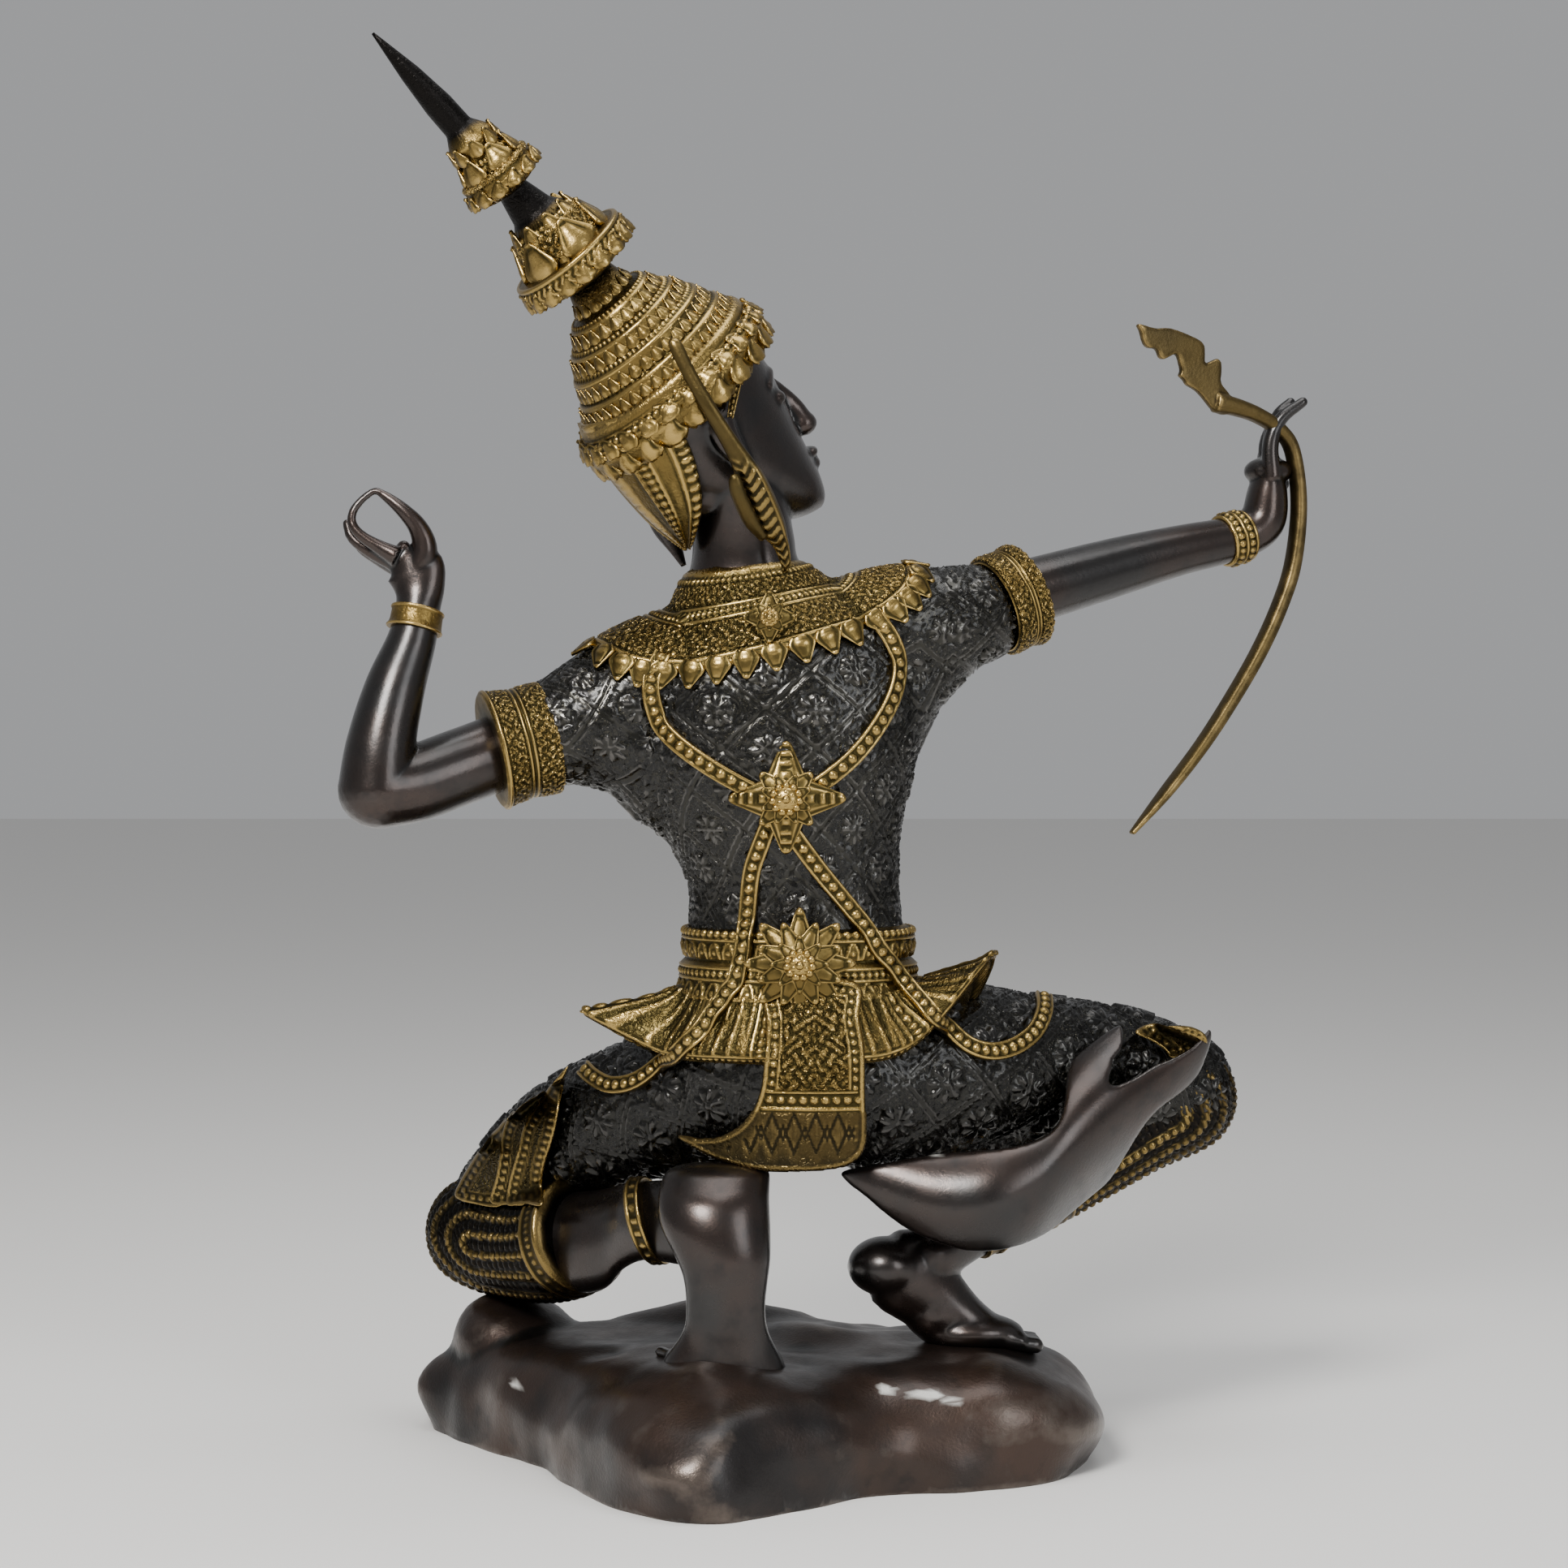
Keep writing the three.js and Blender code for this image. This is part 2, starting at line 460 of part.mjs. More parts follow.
// A rosette facing out from the back: two stars of petals, one above the other, and a boss.
function rosette([x, z, petals, long, short], onBack) {
  const { at } = onBack(x, z);
  const layers = [
    // reach of the points, reach of the notches, height
    [1, 0.5, -4], [1, 0.56, 2], [0.46, 0.66, 4.4], [0.22, 0.22, 8.5],
  ];
  return tube(layers.length, petals * 2, (i, u, w) => {
    const [tip, notch, height] = layers[i];
    const a = Math.atan2(u, w);
    const k = Math.round((a / (2 * Math.PI)) * petals * 2);
    const reach = long + (short - long) * Math.sin(a) ** 2;
    const r = Math.hypot(u, w) * reach * (k % 2 === 0 ? tip : notch);
    return V(at.x + r * Math.sin(a), at.y - height, at.z + r * Math.cos(a));
  });
}

function makeDress(body) {
  const collar = stack(COLLAR, COLLAR_POINTS * 2);
  const belt = stack(BELT.map(([z, a, b]) => [-21, 1, z, a, b]), 13);
  const dressed = join([body, collar, belt, makeSkirt()]);
  const onBack = backOf(dressed);
  return join([
    dressed,
    ...[...STRAPS, ...SWAGS].map((s) => band(s, onBack, STRAP_WIDTH, STRAP_PROUD)),
    ...ROSETTES.map((r) => rosette(r, onBack)),
  ]);
}

// The short flared skirt below the belt, with its upturned corners.
function makeSkirt() {
  const spread = rad(13);
  return tube(SKIRT_RINGS.length, SKIRT.sides, (i, u, w) => {
    const [z, a, b, reachShare, liftShare] = SKIRT_RINGS[i];
    const angle = Math.atan2(w, u);
    let [reach, lift] = [0, 0];
    for (const [turn, out, up] of SKIRT_TIPS) {
      const off = Math.atan2(Math.sin(angle - rad(turn)), Math.cos(angle - rad(turn)));
      const near = Math.exp(-((off / spread) ** 2));
      reach += out * near * reachShare;
      lift += up * near * liftShare;
    }
    return V(SKIRT.x + (a + reach) * u, SKIRT.y + (b + reach * 0.6) * w, z + lift);
  });
}

// A ribbon of metal with its width along side.
function ribbon(stations, thick, side, sides = 6) {
  const flat = stations.map(([x, y, z, half]) => [x, y, z, half, thick / 2]);
  return limb(flat, { sides, side, round: [false, false], square: 0.8 });
}

function makeSash() {
  const across = [0.3, 0.12, 0.95];
  return join([
    ribbon(BACK_PANEL, 6, [1, 0, 0]),
    ribbon(BACK_PANEL_TIP, 5, [0.3, 0, 1], 4),
    ribbon(FRONT_PANEL, 7, [1, 0, 0]),
    ribbon(SASH_END, SHEET_THICK, across),
    ribbon(SASH_FORK, SHEET_THICK, [1, 0.5, -0.4]),
    ...KNEE_FLAMES.map(([foot, tip, width]) => leaf(V(...foot), V(...tip), width, 11, V(-0.4, -1, 0.3))),
  ]);
}

// The bow's bar and flame, in its own plane: x along the plane, z up, y across.
function makeBow(grow = 0) {
  const turn = rad(BOW_PLANE.turn);
  const along = (x) => (x - BOW_PLANE.x) / Math.cos(turn);
  const stations = BOW_LINE.map(([x, z, half]) => {
    const depth = BOW_DEPTH * Math.min(1, half / 3.4);
    return [along(x), 0, z, depth + grow, half * 0.78 + grow];
  });
  const bar = limb(stations, { sides: 6, square: 0.8 });
  const outline = new THREE.Shape(BOW_FLAME.map(([x, z]) => new THREE.Vector2(along(x), z)));
  const plate = new THREE.ExtrudeGeometry(outline, { depth: 5, bevelEnabled: false });
  plate.rotateX(Math.PI / 2);
  plate.translate(0, 2.5, 0);
  const frame = new THREE.Matrix4().makeRotationZ(turn).setPosition(BOW_PLANE.x, BOW_PLANE.y, 0);
  return join(inFrame(grow ? [bar] : [bar, plate], frame));
}

function toMesh(piece, name, material) {
  const m = piece.getMesh();
  const g = new THREE.BufferGeometry()
    .setAttribute("position", new THREE.BufferAttribute(new Float32Array(m.vertProperties), 3))
    .setIndex(new THREE.BufferAttribute(m.triVerts, 1));
  g.computeVertexNormals();
  const mesh = new THREE.Mesh(g, material);
  mesh.name = name;
  return mesh;
}

const darkBronze = new THREE.MeshStandardMaterial({ color: 0x2a2422, roughness: 0.38, metalness: 0.9 });
const brass = new THREE.MeshStandardMaterial({ color: 0x8a7038, roughness: 0.42, metalness: 0.95 });

const figure = join([makeRock(), makeDress(makeBody()), makeLimbs(), makeHead(), makeCrown(), makeSash()])
  .subtract(makeBow(GRIP_GAP));

const archer = new THREE.Group();
archer.add(toMesh(figure, "figure_on_rock", darkBronze));
archer.add(toMesh(makeBow(), "bow", brass));

// The origin is under the middle of the whole object.
const box = new THREE.Box3().setFromObject(archer);
const middle = box.getCenter(V(0, 0, 0));
archer.position.set(-middle.x, -middle.y, -box.min.z);

export default archer;
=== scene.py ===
import math

import bmesh
import bpy
import numpy as np
from mathutils import Matrix, Vector
from mathutils.bvhtree import BVHTree


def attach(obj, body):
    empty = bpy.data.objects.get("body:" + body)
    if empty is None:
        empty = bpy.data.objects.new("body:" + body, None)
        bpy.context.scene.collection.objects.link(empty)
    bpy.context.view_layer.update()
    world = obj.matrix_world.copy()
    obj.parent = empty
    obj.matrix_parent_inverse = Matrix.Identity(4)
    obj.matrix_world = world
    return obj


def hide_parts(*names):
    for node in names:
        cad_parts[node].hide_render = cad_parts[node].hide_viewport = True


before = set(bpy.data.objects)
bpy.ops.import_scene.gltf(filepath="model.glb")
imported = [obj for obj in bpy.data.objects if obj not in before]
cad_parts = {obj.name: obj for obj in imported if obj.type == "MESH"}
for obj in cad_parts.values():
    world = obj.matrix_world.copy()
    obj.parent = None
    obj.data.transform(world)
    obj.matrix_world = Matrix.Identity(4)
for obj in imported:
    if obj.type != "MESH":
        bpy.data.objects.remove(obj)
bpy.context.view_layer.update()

# %% [markdown]
# ## Tubes: one idea for nearly every part
#
# An arm, a belt, a crown, a ribbon and a bow are all tubes: rings of points along a line. So one kind
# of tube serves for all of them. It keeps the middle of each ring and the ring's two half axes. The
# rows of numbers that describe a tube are few, and a smooth curve is passed through them.
# %% Rows of numbers, smoothed
MM = 0.001
MIDDLE = Vector((-0.593, 3.536, 0))  # where the model's origin lies in the millimetre frame


def smooth_rows(rows, steps=8):
    """Passes a smooth curve through rows of numbers, with so many steps between two rows."""
    p = np.array(rows, float)
    p = np.vstack([2 * p[0] - p[1], p, 2 * p[-1] - p[-2]])
    out = []
    for i in range(1, len(p) - 2):
        a, b, c, d = p[i - 1:i + 3]
        for t in np.linspace(0, 1, steps, endpoint=False):
            out.append(b + 0.5 * t * (c - a + t * (2 * a - 5 * b + 4 * c - d + t * (3 * b - a - 3 * c + d))))
    return np.array(out + [p[-2]])


def stepped_rows(rows, every=0.8, rub=2):
    """Passes straight steps through rows of numbers and rubs their corners a little round."""
    p = np.array(rows, float)
    size = np.linalg.norm(np.diff(p[:, :5], axis=0), axis=1)
    run = np.concatenate([[0], np.cumsum(size)])
    at = np.linspace(0, run[-1], int(run[-1] / every) + 2)
    out = np.column_stack([np.interp(at, run, column) for column in p.T])
    for _ in range(rub):
        out[1:-1] = (out[:-2] + 2 * out[1:-1] + out[2:]) / 4
    return out


def along_rows(rows, t):
    """Each column of evenly spaced rows, at t from 0 to 1."""
    return [np.interp(t, np.linspace(0, 1, len(rows)), column) for column in rows.T]


def unit(v):
    """Vectors with a length of one."""
    return v / np.maximum(np.linalg.norm(v, axis=-1, keepdims=True), 1e-9)


print("a curve through 3 rows has", len(smooth_rows([(0, 0), (1, 1), (2, 0)])), "rows")

# %% The tube
class Tube:
    """Rings along a line: the middle of each ring and its two half axes, resampled evenly."""

    def __init__(self, middle, u, w, sag=None, square=1.0):
        sag = np.zeros(len(middle)) if sag is None else sag
        edge = middle + u
        step = np.maximum(np.linalg.norm(np.diff(edge, axis=0), axis=1),
                          np.linalg.norm(np.diff(middle, axis=0), axis=1))
        run = np.concatenate([[0], np.cumsum(step)])
        self.length = run[-1]
        self.rows = np.column_stack([middle, u, w, sag])
        self.run = run / run[-1]
        self.square = square

    def girth(self, t):
        """How far it is round the ring at t."""
        _, u, w, _ = self.ring(np.array([t]))
        return 2 * math.pi * math.sqrt(((u ** 2).sum() + (w ** 2).sum()) / 2)

    def ring(self, t):
        """The middle and half axes at t, from 0 to 1 along the tube."""
        row = np.column_stack([np.interp(t, self.run, c) for c in self.rows.T])
        return row[:, :3], row[:, 3:6], row[:, 6:9], row[:, 9]

    def place(self, s, t):
        """Points at s round the tube and t along it."""
        middle, u, w, sag = self.ring(t)
        x, y = np.sin(2 * math.pi * s), np.cos(2 * math.pi * s)
        across, out = [np.sign(k) * np.abs(k) ** self.square for k in (x, y)]
        points = middle + u * across[:, None] + w * out[:, None]
        points[:, 2] -= sag * y * y
        return points


# %% [markdown]
# A torso is a stack of level rings, and an arm follows a path. Blender's own curves could carry both,
# with a bevel and a radius, but their rings are always round. So there is one short function for each
# kind of row, and a ring may be wide one way and flat the other.
# %% Tubes from rows
def stacked(rows, steps=8, rub=None):
    """A tube of level rings: x, y, z, half axis along x, half axis along y, tilt in degrees, sag."""
    full = [list(row) + [0] * (7 - len(row)) for row in rows]
    r = smooth_rows(full, steps) if rub is None else stepped_rows(full, rub=rub)
    tilt = np.radians(r[:, 5])
    u = np.column_stack([r[:, 3] * np.cos(tilt), 0 * tilt, r[:, 3] * np.sin(tilt)])
    w = np.column_stack([0 * tilt, r[:, 4], 0 * tilt])
    return Tube(r[:, :3], u, w, r[:, 6])


def upright(rows, steps=8):
    """A tube of rings that stand across the picture: x, y, z, half axis in depth, half axis up."""
    r = smooth_rows(rows, steps)
    none = 0 * r[:, 3]
    return Tube(r[:, :3], np.column_stack([none, r[:, 3], none]), np.column_stack([none, none, r[:, 4]]))


def straight(rows, side=(0, 1, 0)):
    """A short straight tube with sharp steps: x, y, z and its two half axes."""
    r = stepped_rows([list(row) + [row[3]] * (5 - len(row)) for row in rows], every=0.4)
    ahead = unit(r[-1, :3] - r[0, :3])
    u = unit(np.array(side, float) - ahead * (ahead @ np.array(side, float)))
    return Tube(r[:, :3], u * r[:, 3:4], np.cross(ahead, u) * r[:, 4:5])


def jointed(rows, side=(0, 1, 0), steps=8, square=1.0):
    """A tube across a path: x, y, z, half axis along side, half axis across it."""
    r = smooth_rows([list(row) + [row[3]] * (5 - len(row)) for row in rows], steps)
    ahead = unit(np.gradient(r[:, :3], axis=0))
    u = unit(np.array(side, float) - ahead * (ahead @ np.array(side, float))[:, None])
    w = np.cross(ahead, u)
    return Tube(r[:, :3], u * r[:, 3:4], w * r[:, 4:5], square=square)


print("a straight test limb is", jointed([(0, 0, z, 10) for z in (0, 50, 100)]).length, "mm long")

# %% [markdown]
# ## Skins: a grid rolled into a tube
#
# A grid from the grid operator is rolled into the tube, its seam is welded and its two ends are
# filled. Each point remembers how far round and how far along it sits, so that a pattern can be
# raised on it later.
# %% Grid to skin
def skin(tube, around, along):
    """A closed skin over a tube, as a mesh whose points carry s, t and relief."""
    bm = bmesh.new()
    s_layer = bm.verts.layers.float.new("s")
    t_layer = bm.verts.layers.float.new("t")
    bmesh.ops.create_grid(bm, x_segments=around, y_segments=along, size=0.5)
    grid = np.array([v.co[:2] for v in bm.verts]) + 0.5
    for v, (s, t), p in zip(bm.verts, grid, tube.place(grid[:, 0], grid[:, 1])):
        v[s_layer], v[t_layer], v.co = s, t, p
    bmesh.ops.remove_doubles(bm, verts=bm.verts, dist=1e-3)
    bmesh.ops.holes_fill(bm, edges=[e for e in bm.edges if e.is_boundary], sides=0)
    bmesh.ops.recalc_face_normals(bm, faces=bm.faces)
    mesh = bpy.data.meshes.new("skin")
    bm.to_mesh(mesh)
    bm.free()
    mesh.attributes.new("relief", "FLOAT", "POINT")
    return mesh


def ball(at, radii):
    """A ball with three radii."""
    bm = bmesh.new()
    size = Matrix.Diagonal((*radii, 1))
    bmesh.ops.create_icosphere(bm, subdivisions=3, radius=1, matrix=Matrix.Translation(at) @ size)
    mesh = bpy.data.meshes.new("ball")
    bm.to_mesh(mesh)
    bm.free()
    return mesh


sample = skin(straight([(0, 0, 0, 5), (0, 0, 20, 5)]), 12, 8)
print("a test skin of 12 by 8 squares has", len(sample.polygons), "faces, two of them its ends")
bpy.data.meshes.remove(sample)


# %% [markdown]
# A worked surface has to remember how high its relief is, and how gilt or chipped it is. Painted colours
# could hold that, but a named attribute holds one plain number on each point, and a material reads it
# by its name.
# %% Numbers on the points
def read(mesh, name, width=1):
    """A mesh's point positions, normals or numbers as an array."""
    out = np.empty(len(mesh.vertices) * width, np.float32)
    if name == "co":
        mesh.vertices.foreach_get("co", out)
    elif name == "normal":
        mesh.vertices.foreach_get("normal", out)
    else:
        mesh.attributes[name].data.foreach_get("value", out)
    return out.reshape(-1, width) if width > 1 else out


def write(mesh, name, values):
    """Puts numbers on a mesh's points, under a name."""
    layer = mesh.attributes.get(name) or mesh.attributes.new(name, "FLOAT", "POINT")
    layer.data.foreach_set("value", np.ascontiguousarray(values, np.float32))


def raise_relief(mesh, height, tone, curls=0.0):
    """Moves each point along its normal by height, in millimetres, and notes its tone from 0 to 1.

    Curls says how strongly the finish adds small curls there, too fine to be modelled."""
    co = read(mesh, "co", 3) + read(mesh, "normal", 3) * np.asarray(height)[:, None]
    mesh.vertices.foreach_set("co", co.astype(np.float32).ravel())
    mesh.update()
    write(mesh, "relief", np.clip(tone, 0, 1))
    write(mesh, "curls", curls + 0 * np.asarray(height))


# %% [markdown]
# Where two limbs of wax meet there must be no seam. A boolean join leaves a sharp crease, so the forms
# are melted together by a voxel remesh and rubbed smooth, the way a caster joins wax. The fine skin that
# results has more triangles than its flat places need, and Decimate takes those away.
# %% Melted and thinned
def joined(meshes):
    """Several meshes as one."""
    bm = bmesh.new()
    for mesh in meshes:
        bm.from_mesh(mesh)
    whole = bpy.data.meshes.new("joined")
    bm.to_mesh(whole)
    bm.free()
    return whole


def changed(mesh, kind, **settings):
    """A mesh as one modifier leaves it."""
    obj = bpy.data.objects.new("wax", mesh)
    bpy.context.scene.collection.objects.link(obj)
    modifier = obj.modifiers.new(kind.title(), kind)
    for name, value in settings.items():
        setattr(modifier, name, value)
    graph = bpy.context.evaluated_depsgraph_get()
    out = bpy.data.meshes.new_from_object(obj.evaluated_get(graph))
    bpy.data.objects.remove(obj)
    return out


def fused(meshes, voxel, soften):
    """Several closed skins melted into one even skin, the way wax parts are joined before casting."""
    melted = changed(joined(meshes), "REMESH", mode="VOXEL", voxel_size=voxel)
    return changed(melted, "SMOOTH", factor=0.5, iterations=soften)


def thinned(mesh, share):
    """The same surface with fewer triangles: flat places lose theirs first."""
    return changed(mesh, "DECIMATE", ratio=share)


# %% [markdown]
# Gold wears first where an edge stands proud. A material can find such places while it renders, with a
# bevel or an occlusion node, but a number noted on the mesh stays with it in every program.
# %% Proud edges
EDGE_REACH = 0.12  # millimetres proud of its neighbours at which a point counts as an edge


def neighbours(mesh):
    """The two ends of every edge, and how many edges meet at each point."""
    ends = np.empty(len(mesh.edges) * 2, np.int32)
    mesh.edges.foreach_get("vertices", ends)
    a, b = ends.reshape(-1, 2).T
    n = len(mesh.vertices)
    return a, b, np.maximum(np.bincount(a, minlength=n) + np.bincount(b, minlength=n), 1)


def smooth_over(mesh, values, times):
    """Numbers on a mesh's points, evened out along its edges."""
    a, b, count = neighbours(mesh)
    for _ in range(times):
        near = np.bincount(a, values[b], len(count)) + np.bincount(b, values[a], len(count))
        values = (values + near / count) / 2
    return values


def note_edges(mesh):
    """Notes on each point how far it stands proud of its neighbours, from 0 to 1."""
    co, normal = read(mesh, "co", 3), read(mesh, "normal", 3)
    a, b, count = neighbours(mesh)
    middle = np.zeros_like(co)
    for axis in range(3):
        middle[:, axis] = np.bincount(a, co[b, axis], len(co)) + np.bincount(b, co[a, axis], len(co))
    proud = smooth_over(mesh, ((co - middle / count[:, None]) * normal).sum(axis=1), 2)
    write(mesh, "edge", np.clip(proud / EDGE_REACH, -0.6, 1))


# %% [markdown]
# Every piece ends the same way. It is thinned, turned from millimetres into metres, and moved within
# its mesh, so that its object stays at the origin. Then it gets its finish, and the node of the solid
# that it stands for is hidden.
# %% Pieces in place
UNWORKED = {"gilding": 1.0, "chalk": 0.0, "curls": 0.0}  # what a point says where nothing was noted
print("a point with nothing noted says", UNWORKED)
triangles = {}


def put(name, mesh, material, node="figure_on_rock", share=0.6):
    """Makes a finished piece: metres, the model's frame, its material and its place in the frame."""
    note_edges(mesh)
    for label, value in UNWORKED.items():
        if label not in mesh.attributes:
            write(mesh, label, np.full(len(mesh.vertices), value))
    mesh = thinned(mesh, share)
    mesh.transform(Matrix.Scale(MM, 4) @ Matrix.Translation(-MIDDLE))
    mesh.shade_smooth()
    mesh.materials.clear()
    mesh.materials.append(material)
    for extra in ("s", "t"):
        if extra in mesh.attributes:
            mesh.attributes.remove(mesh.attributes[extra])
    mesh.name = name
    piece = bpy.data.objects.new(name, mesh)
    bpy.context.scene.collection.objects.link(piece)
    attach(piece, "root")
    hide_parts(node)
    mesh.calc_loop_triangles()
    triangles[name] = len(mesh.loop_triangles)
    print(name, "has", triangles[name], "triangles")


# %% [markdown]
# ## Relief: beads, ridges, leaves and curls
#
# The ornament is low relief that a wax worker would press or roll on in strips. So each motif is a
# height worked out from how far a point is along the strip (x) and across it (y), in millimetres.
# %% Motifs
def dome(distance, radius):
    """A half ball."""
    return np.sqrt(np.clip(1 - (distance / radius) ** 2, 0, None))


def ridge(distance, half):
    """A rounded ridge."""
    return np.clip(1 - (distance / half) ** 2, 0, None)


def repeat(x, pitch):
    """The distance from the middle of each repeat."""
    return (x / pitch % 1 - 0.5) * pitch


def beads(x, y, pitch, radius):
    """A row of beads along y = 0."""
    return dome(np.hypot(repeat(x, pitch), y), radius)


def leaves(x, y, pitch, tall):
    """A row of pointed leaves that stand on y = 0, each with a rim and a seed."""
    dx = repeat(x, pitch)
    rise = np.clip(y / tall, 0, 1)
    half = 0.5 * pitch * np.sqrt(np.clip(1 - rise ** 1.6, 1e-4, None))
    inside = np.clip(1 - np.abs(dx) / half, 0, 1) * (y > 0) * (y < tall)
    rim = ridge(inside - 0.25, 0.25)
    seed = dome(np.hypot(dx, (y - 0.36 * tall)), 0.17 * pitch)
    return np.clip(np.minimum(inside * 4, 0.45) + 0.5 * rim + 0.55 * seed, 0, 1)


print("half way out, a bead still has", round(float(dome(0.5, 1)), 2), "of its height")

# %% [markdown]
# Between its borders the real metal is full of small curls and stones, pressed side by side. Sine waves
# that bend one another give lobes that never quite repeat, for less work than drawing each curl.
# %% Fields of curls and stones
def scrolls(x, y, size):
    """Small curling lobes that fill a field, none quite like its neighbour."""
    k = math.pi / size
    wx = x + 0.42 * size * np.sin(1.15 * k * y + 1.3 * np.sin(0.37 * k * x))
    wy = y + 0.42 * size * np.sin(1.25 * k * x + 1.7 * np.sin(0.29 * k * y))
    return np.abs(np.sin(k * wx) * np.cos(k * wy)) ** 0.55


def pebbles(x, y, size):
    """Small round stones packed side by side, each a little out of line."""
    row = np.floor(y / size)
    x = x + 0.5 * size * (row % 2)
    col = np.floor(x / size)
    off = 0.16 * size * np.sin(col * 12.9 + row * 78.2)
    return dome(np.hypot(x - (col + 0.5) * size + off, y - (row + 0.5) * size - off), 0.47 * size)


# %% [markdown]
# A wax worker rolls out a border as a strip: a ridge, beads, a ridge, leaves. A strip here is a list of
# such bands with their widths in millimetres. Each repeat is stretched a little, so that a whole number
# of them closes a ring.
# %% Strips of bands
FINE_CURLS = {"scrolls": 0.8, "plain": 0.08}  # how strongly the finish adds its own small curls


def strip(s, y, bands, long):
    """Height, tone and curls over a strip of bands in order: what, how wide, how high, how long a repeat.

    s and y go from 0 to 1 along and across; long gives the strip's length in millimetres at a y."""
    total = sum(band[1] for band in bands)
    y = y * total
    high, tone, curls = np.zeros_like(y), np.zeros_like(y), np.zeros_like(y)
    start = 0
    for what, wide, *rest in bands:
        up = rest[0] if rest else 0
        length = long((start + wide / 2) / total)
        pitch = rest[1] if len(rest) > 1 else 1.05 * wide
        pitch = length / max(round(length / pitch), 1)
        x = s * length
        dy = y - start - wide / 2
        inside = np.abs(dy) <= wide / 2
        if what == "plain":
            shape = np.full_like(y, 0.62)
        elif what == "ridge":
            shape = ridge(dy, wide / 2)
        elif what == "beads":
            shape = beads(x, dy, pitch, wide / 2)
        elif what == "leaves":
            shape = leaves(x, y - start, pitch, wide)
        elif what == "hanging":
            shape = leaves(x, start + wide - y, pitch, wide)
        elif what == "scrolls":
            shape = (0.3 + 0.7 * scrolls(x, dy, pitch)) * np.clip((wide / 2 - np.abs(dy)) / 0.8, 0, 1)
        elif what == "chevrons":
            shape = ridge(repeat(x + np.abs(dy) * 0.9, pitch), 0.36 * pitch)
        elif what == "pebbles":
            shape = pebbles(x, y - start, pitch)
        high = np.where(inside, up * shape, high)
        tone = np.where(inside, 0.38 + 0.6 * shape, tone)
        curls = np.where(inside, FINE_CURLS.get(what, 0.0), curls)
        start += wide
    return high, tone, curls


print("bands that get small curls of the finish:", FINE_CURLS)

# %% [markdown]
# A ring of ornament is a tube with a strip rolled round it. A ribbon carries its strip on one side only,
# because its back lies on the body and is never seen.
# %% Skins with bands
def banded(tube, around, along, bands):
    """A skin round a tube, with bands of ornament from its first ring to its last."""
    mesh = skin(tube, around, along)
    s, t = read(mesh, "s"), read(mesh, "t")
    raise_relief(mesh, *strip(s, t, bands, tube.girth))
    return mesh


def ribbon(tube, around, along, bands, side=1, below=1e9):
    """A flat band of metal, with ornament along it on one side, fading out above a height."""
    mesh = skin(tube, around, along)
    s, t = read(mesh, "s"), read(mesh, "t")
    across, out = np.sin(2 * math.pi * s), np.cos(2 * math.pi * s) * side
    across = np.sign(across) * np.abs(across) ** tube.square
    height, tone, curls = strip(t, (across + 1) / 2, bands, lambda _: tube.length)
    front = np.clip(out * 6, 0, 1) * np.clip((below - read(mesh, "co", 3)[:, 2]) / 8, 0, 1)
    raise_relief(mesh, height * front, 0.5 + (tone - 0.5) * front, curls * front)
    return mesh


# %% [markdown]
# Straps, plates and rosettes lie on other parts. A Shrinkwrap modifier could lay them there. A ray cast
# from the viewer's side also stops at the first surface, and it gives the way that the surface faces.
# %% Finding the surface
def seen_from_behind(meshes):
    """A finder of the point and outward side of a form under x and z, as seen from behind."""
    bm = bmesh.new()
    for mesh in meshes:
        bm.from_mesh(mesh)
    tree = BVHTree.FromBMesh(bm)
    bm.free()

    def find(x, z):
        at, normal, _, _ = tree.ray_cast(Vector((x, -400, z)), Vector((0, 1, 0)))
        if at is None:
            at, normal, _, _ = tree.find_nearest(Vector((x, -20, z)))
            at = Vector((x, at.y, z))
        return at, normal

    return find, tree


# %% [markdown]
# The sash, the panel over the seat and the knee plates are sheets with free outlines. One face gets the
# outline and an extrude gives it its thickness. It is remeshed evenly, so that it can bend, and softened.
# %% Sheets cut along an outline
def cut_sheet(outline, thick, voxel, soften=4, steps=5):
    """A sheet cut along a closed outline of x and z, flat in the picture's plane, with soft edges."""
    ring = smooth_rows(outline[-2:] + outline + outline[:2], steps)[steps * 2:-steps - 1]
    bm = bmesh.new()
    bmesh.ops.create_circle(bm, cap_ends=True, segments=len(ring), radius=1)
    bm.verts.ensure_lookup_table()
    for v, (x, z) in zip(bm.verts, ring):
        v.co = (x, thick / 2, z)
    pushed = bmesh.ops.extrude_face_region(bm, geom=bm.faces[:])
    moved = [item for item in pushed["geom"] if isinstance(item, bmesh.types.BMVert)]
    bmesh.ops.translate(bm, verts=moved, vec=(0, -thick, 0))
    bmesh.ops.holes_fill(bm, edges=[e for e in bm.edges if e.is_boundary], sides=0)
    bmesh.ops.triangulate(bm, faces=bm.faces[:])
    bmesh.ops.recalc_face_normals(bm, faces=bm.faces[:])
    mesh = bpy.data.meshes.new("sheet")
    bm.to_mesh(mesh)
    bm.free()
    return fused([mesh], voxel, soften), ring


def bent(mesh, depth):
    """Bends a flat sheet: each point moves in depth by depth of its x and z."""
    co = read(mesh, "co", 3)
    co[:, 1] += depth(co[:, 0], co[:, 2])
    mesh.vertices.foreach_set("co", co.astype(np.float32).ravel())
    mesh.update()
    return mesh


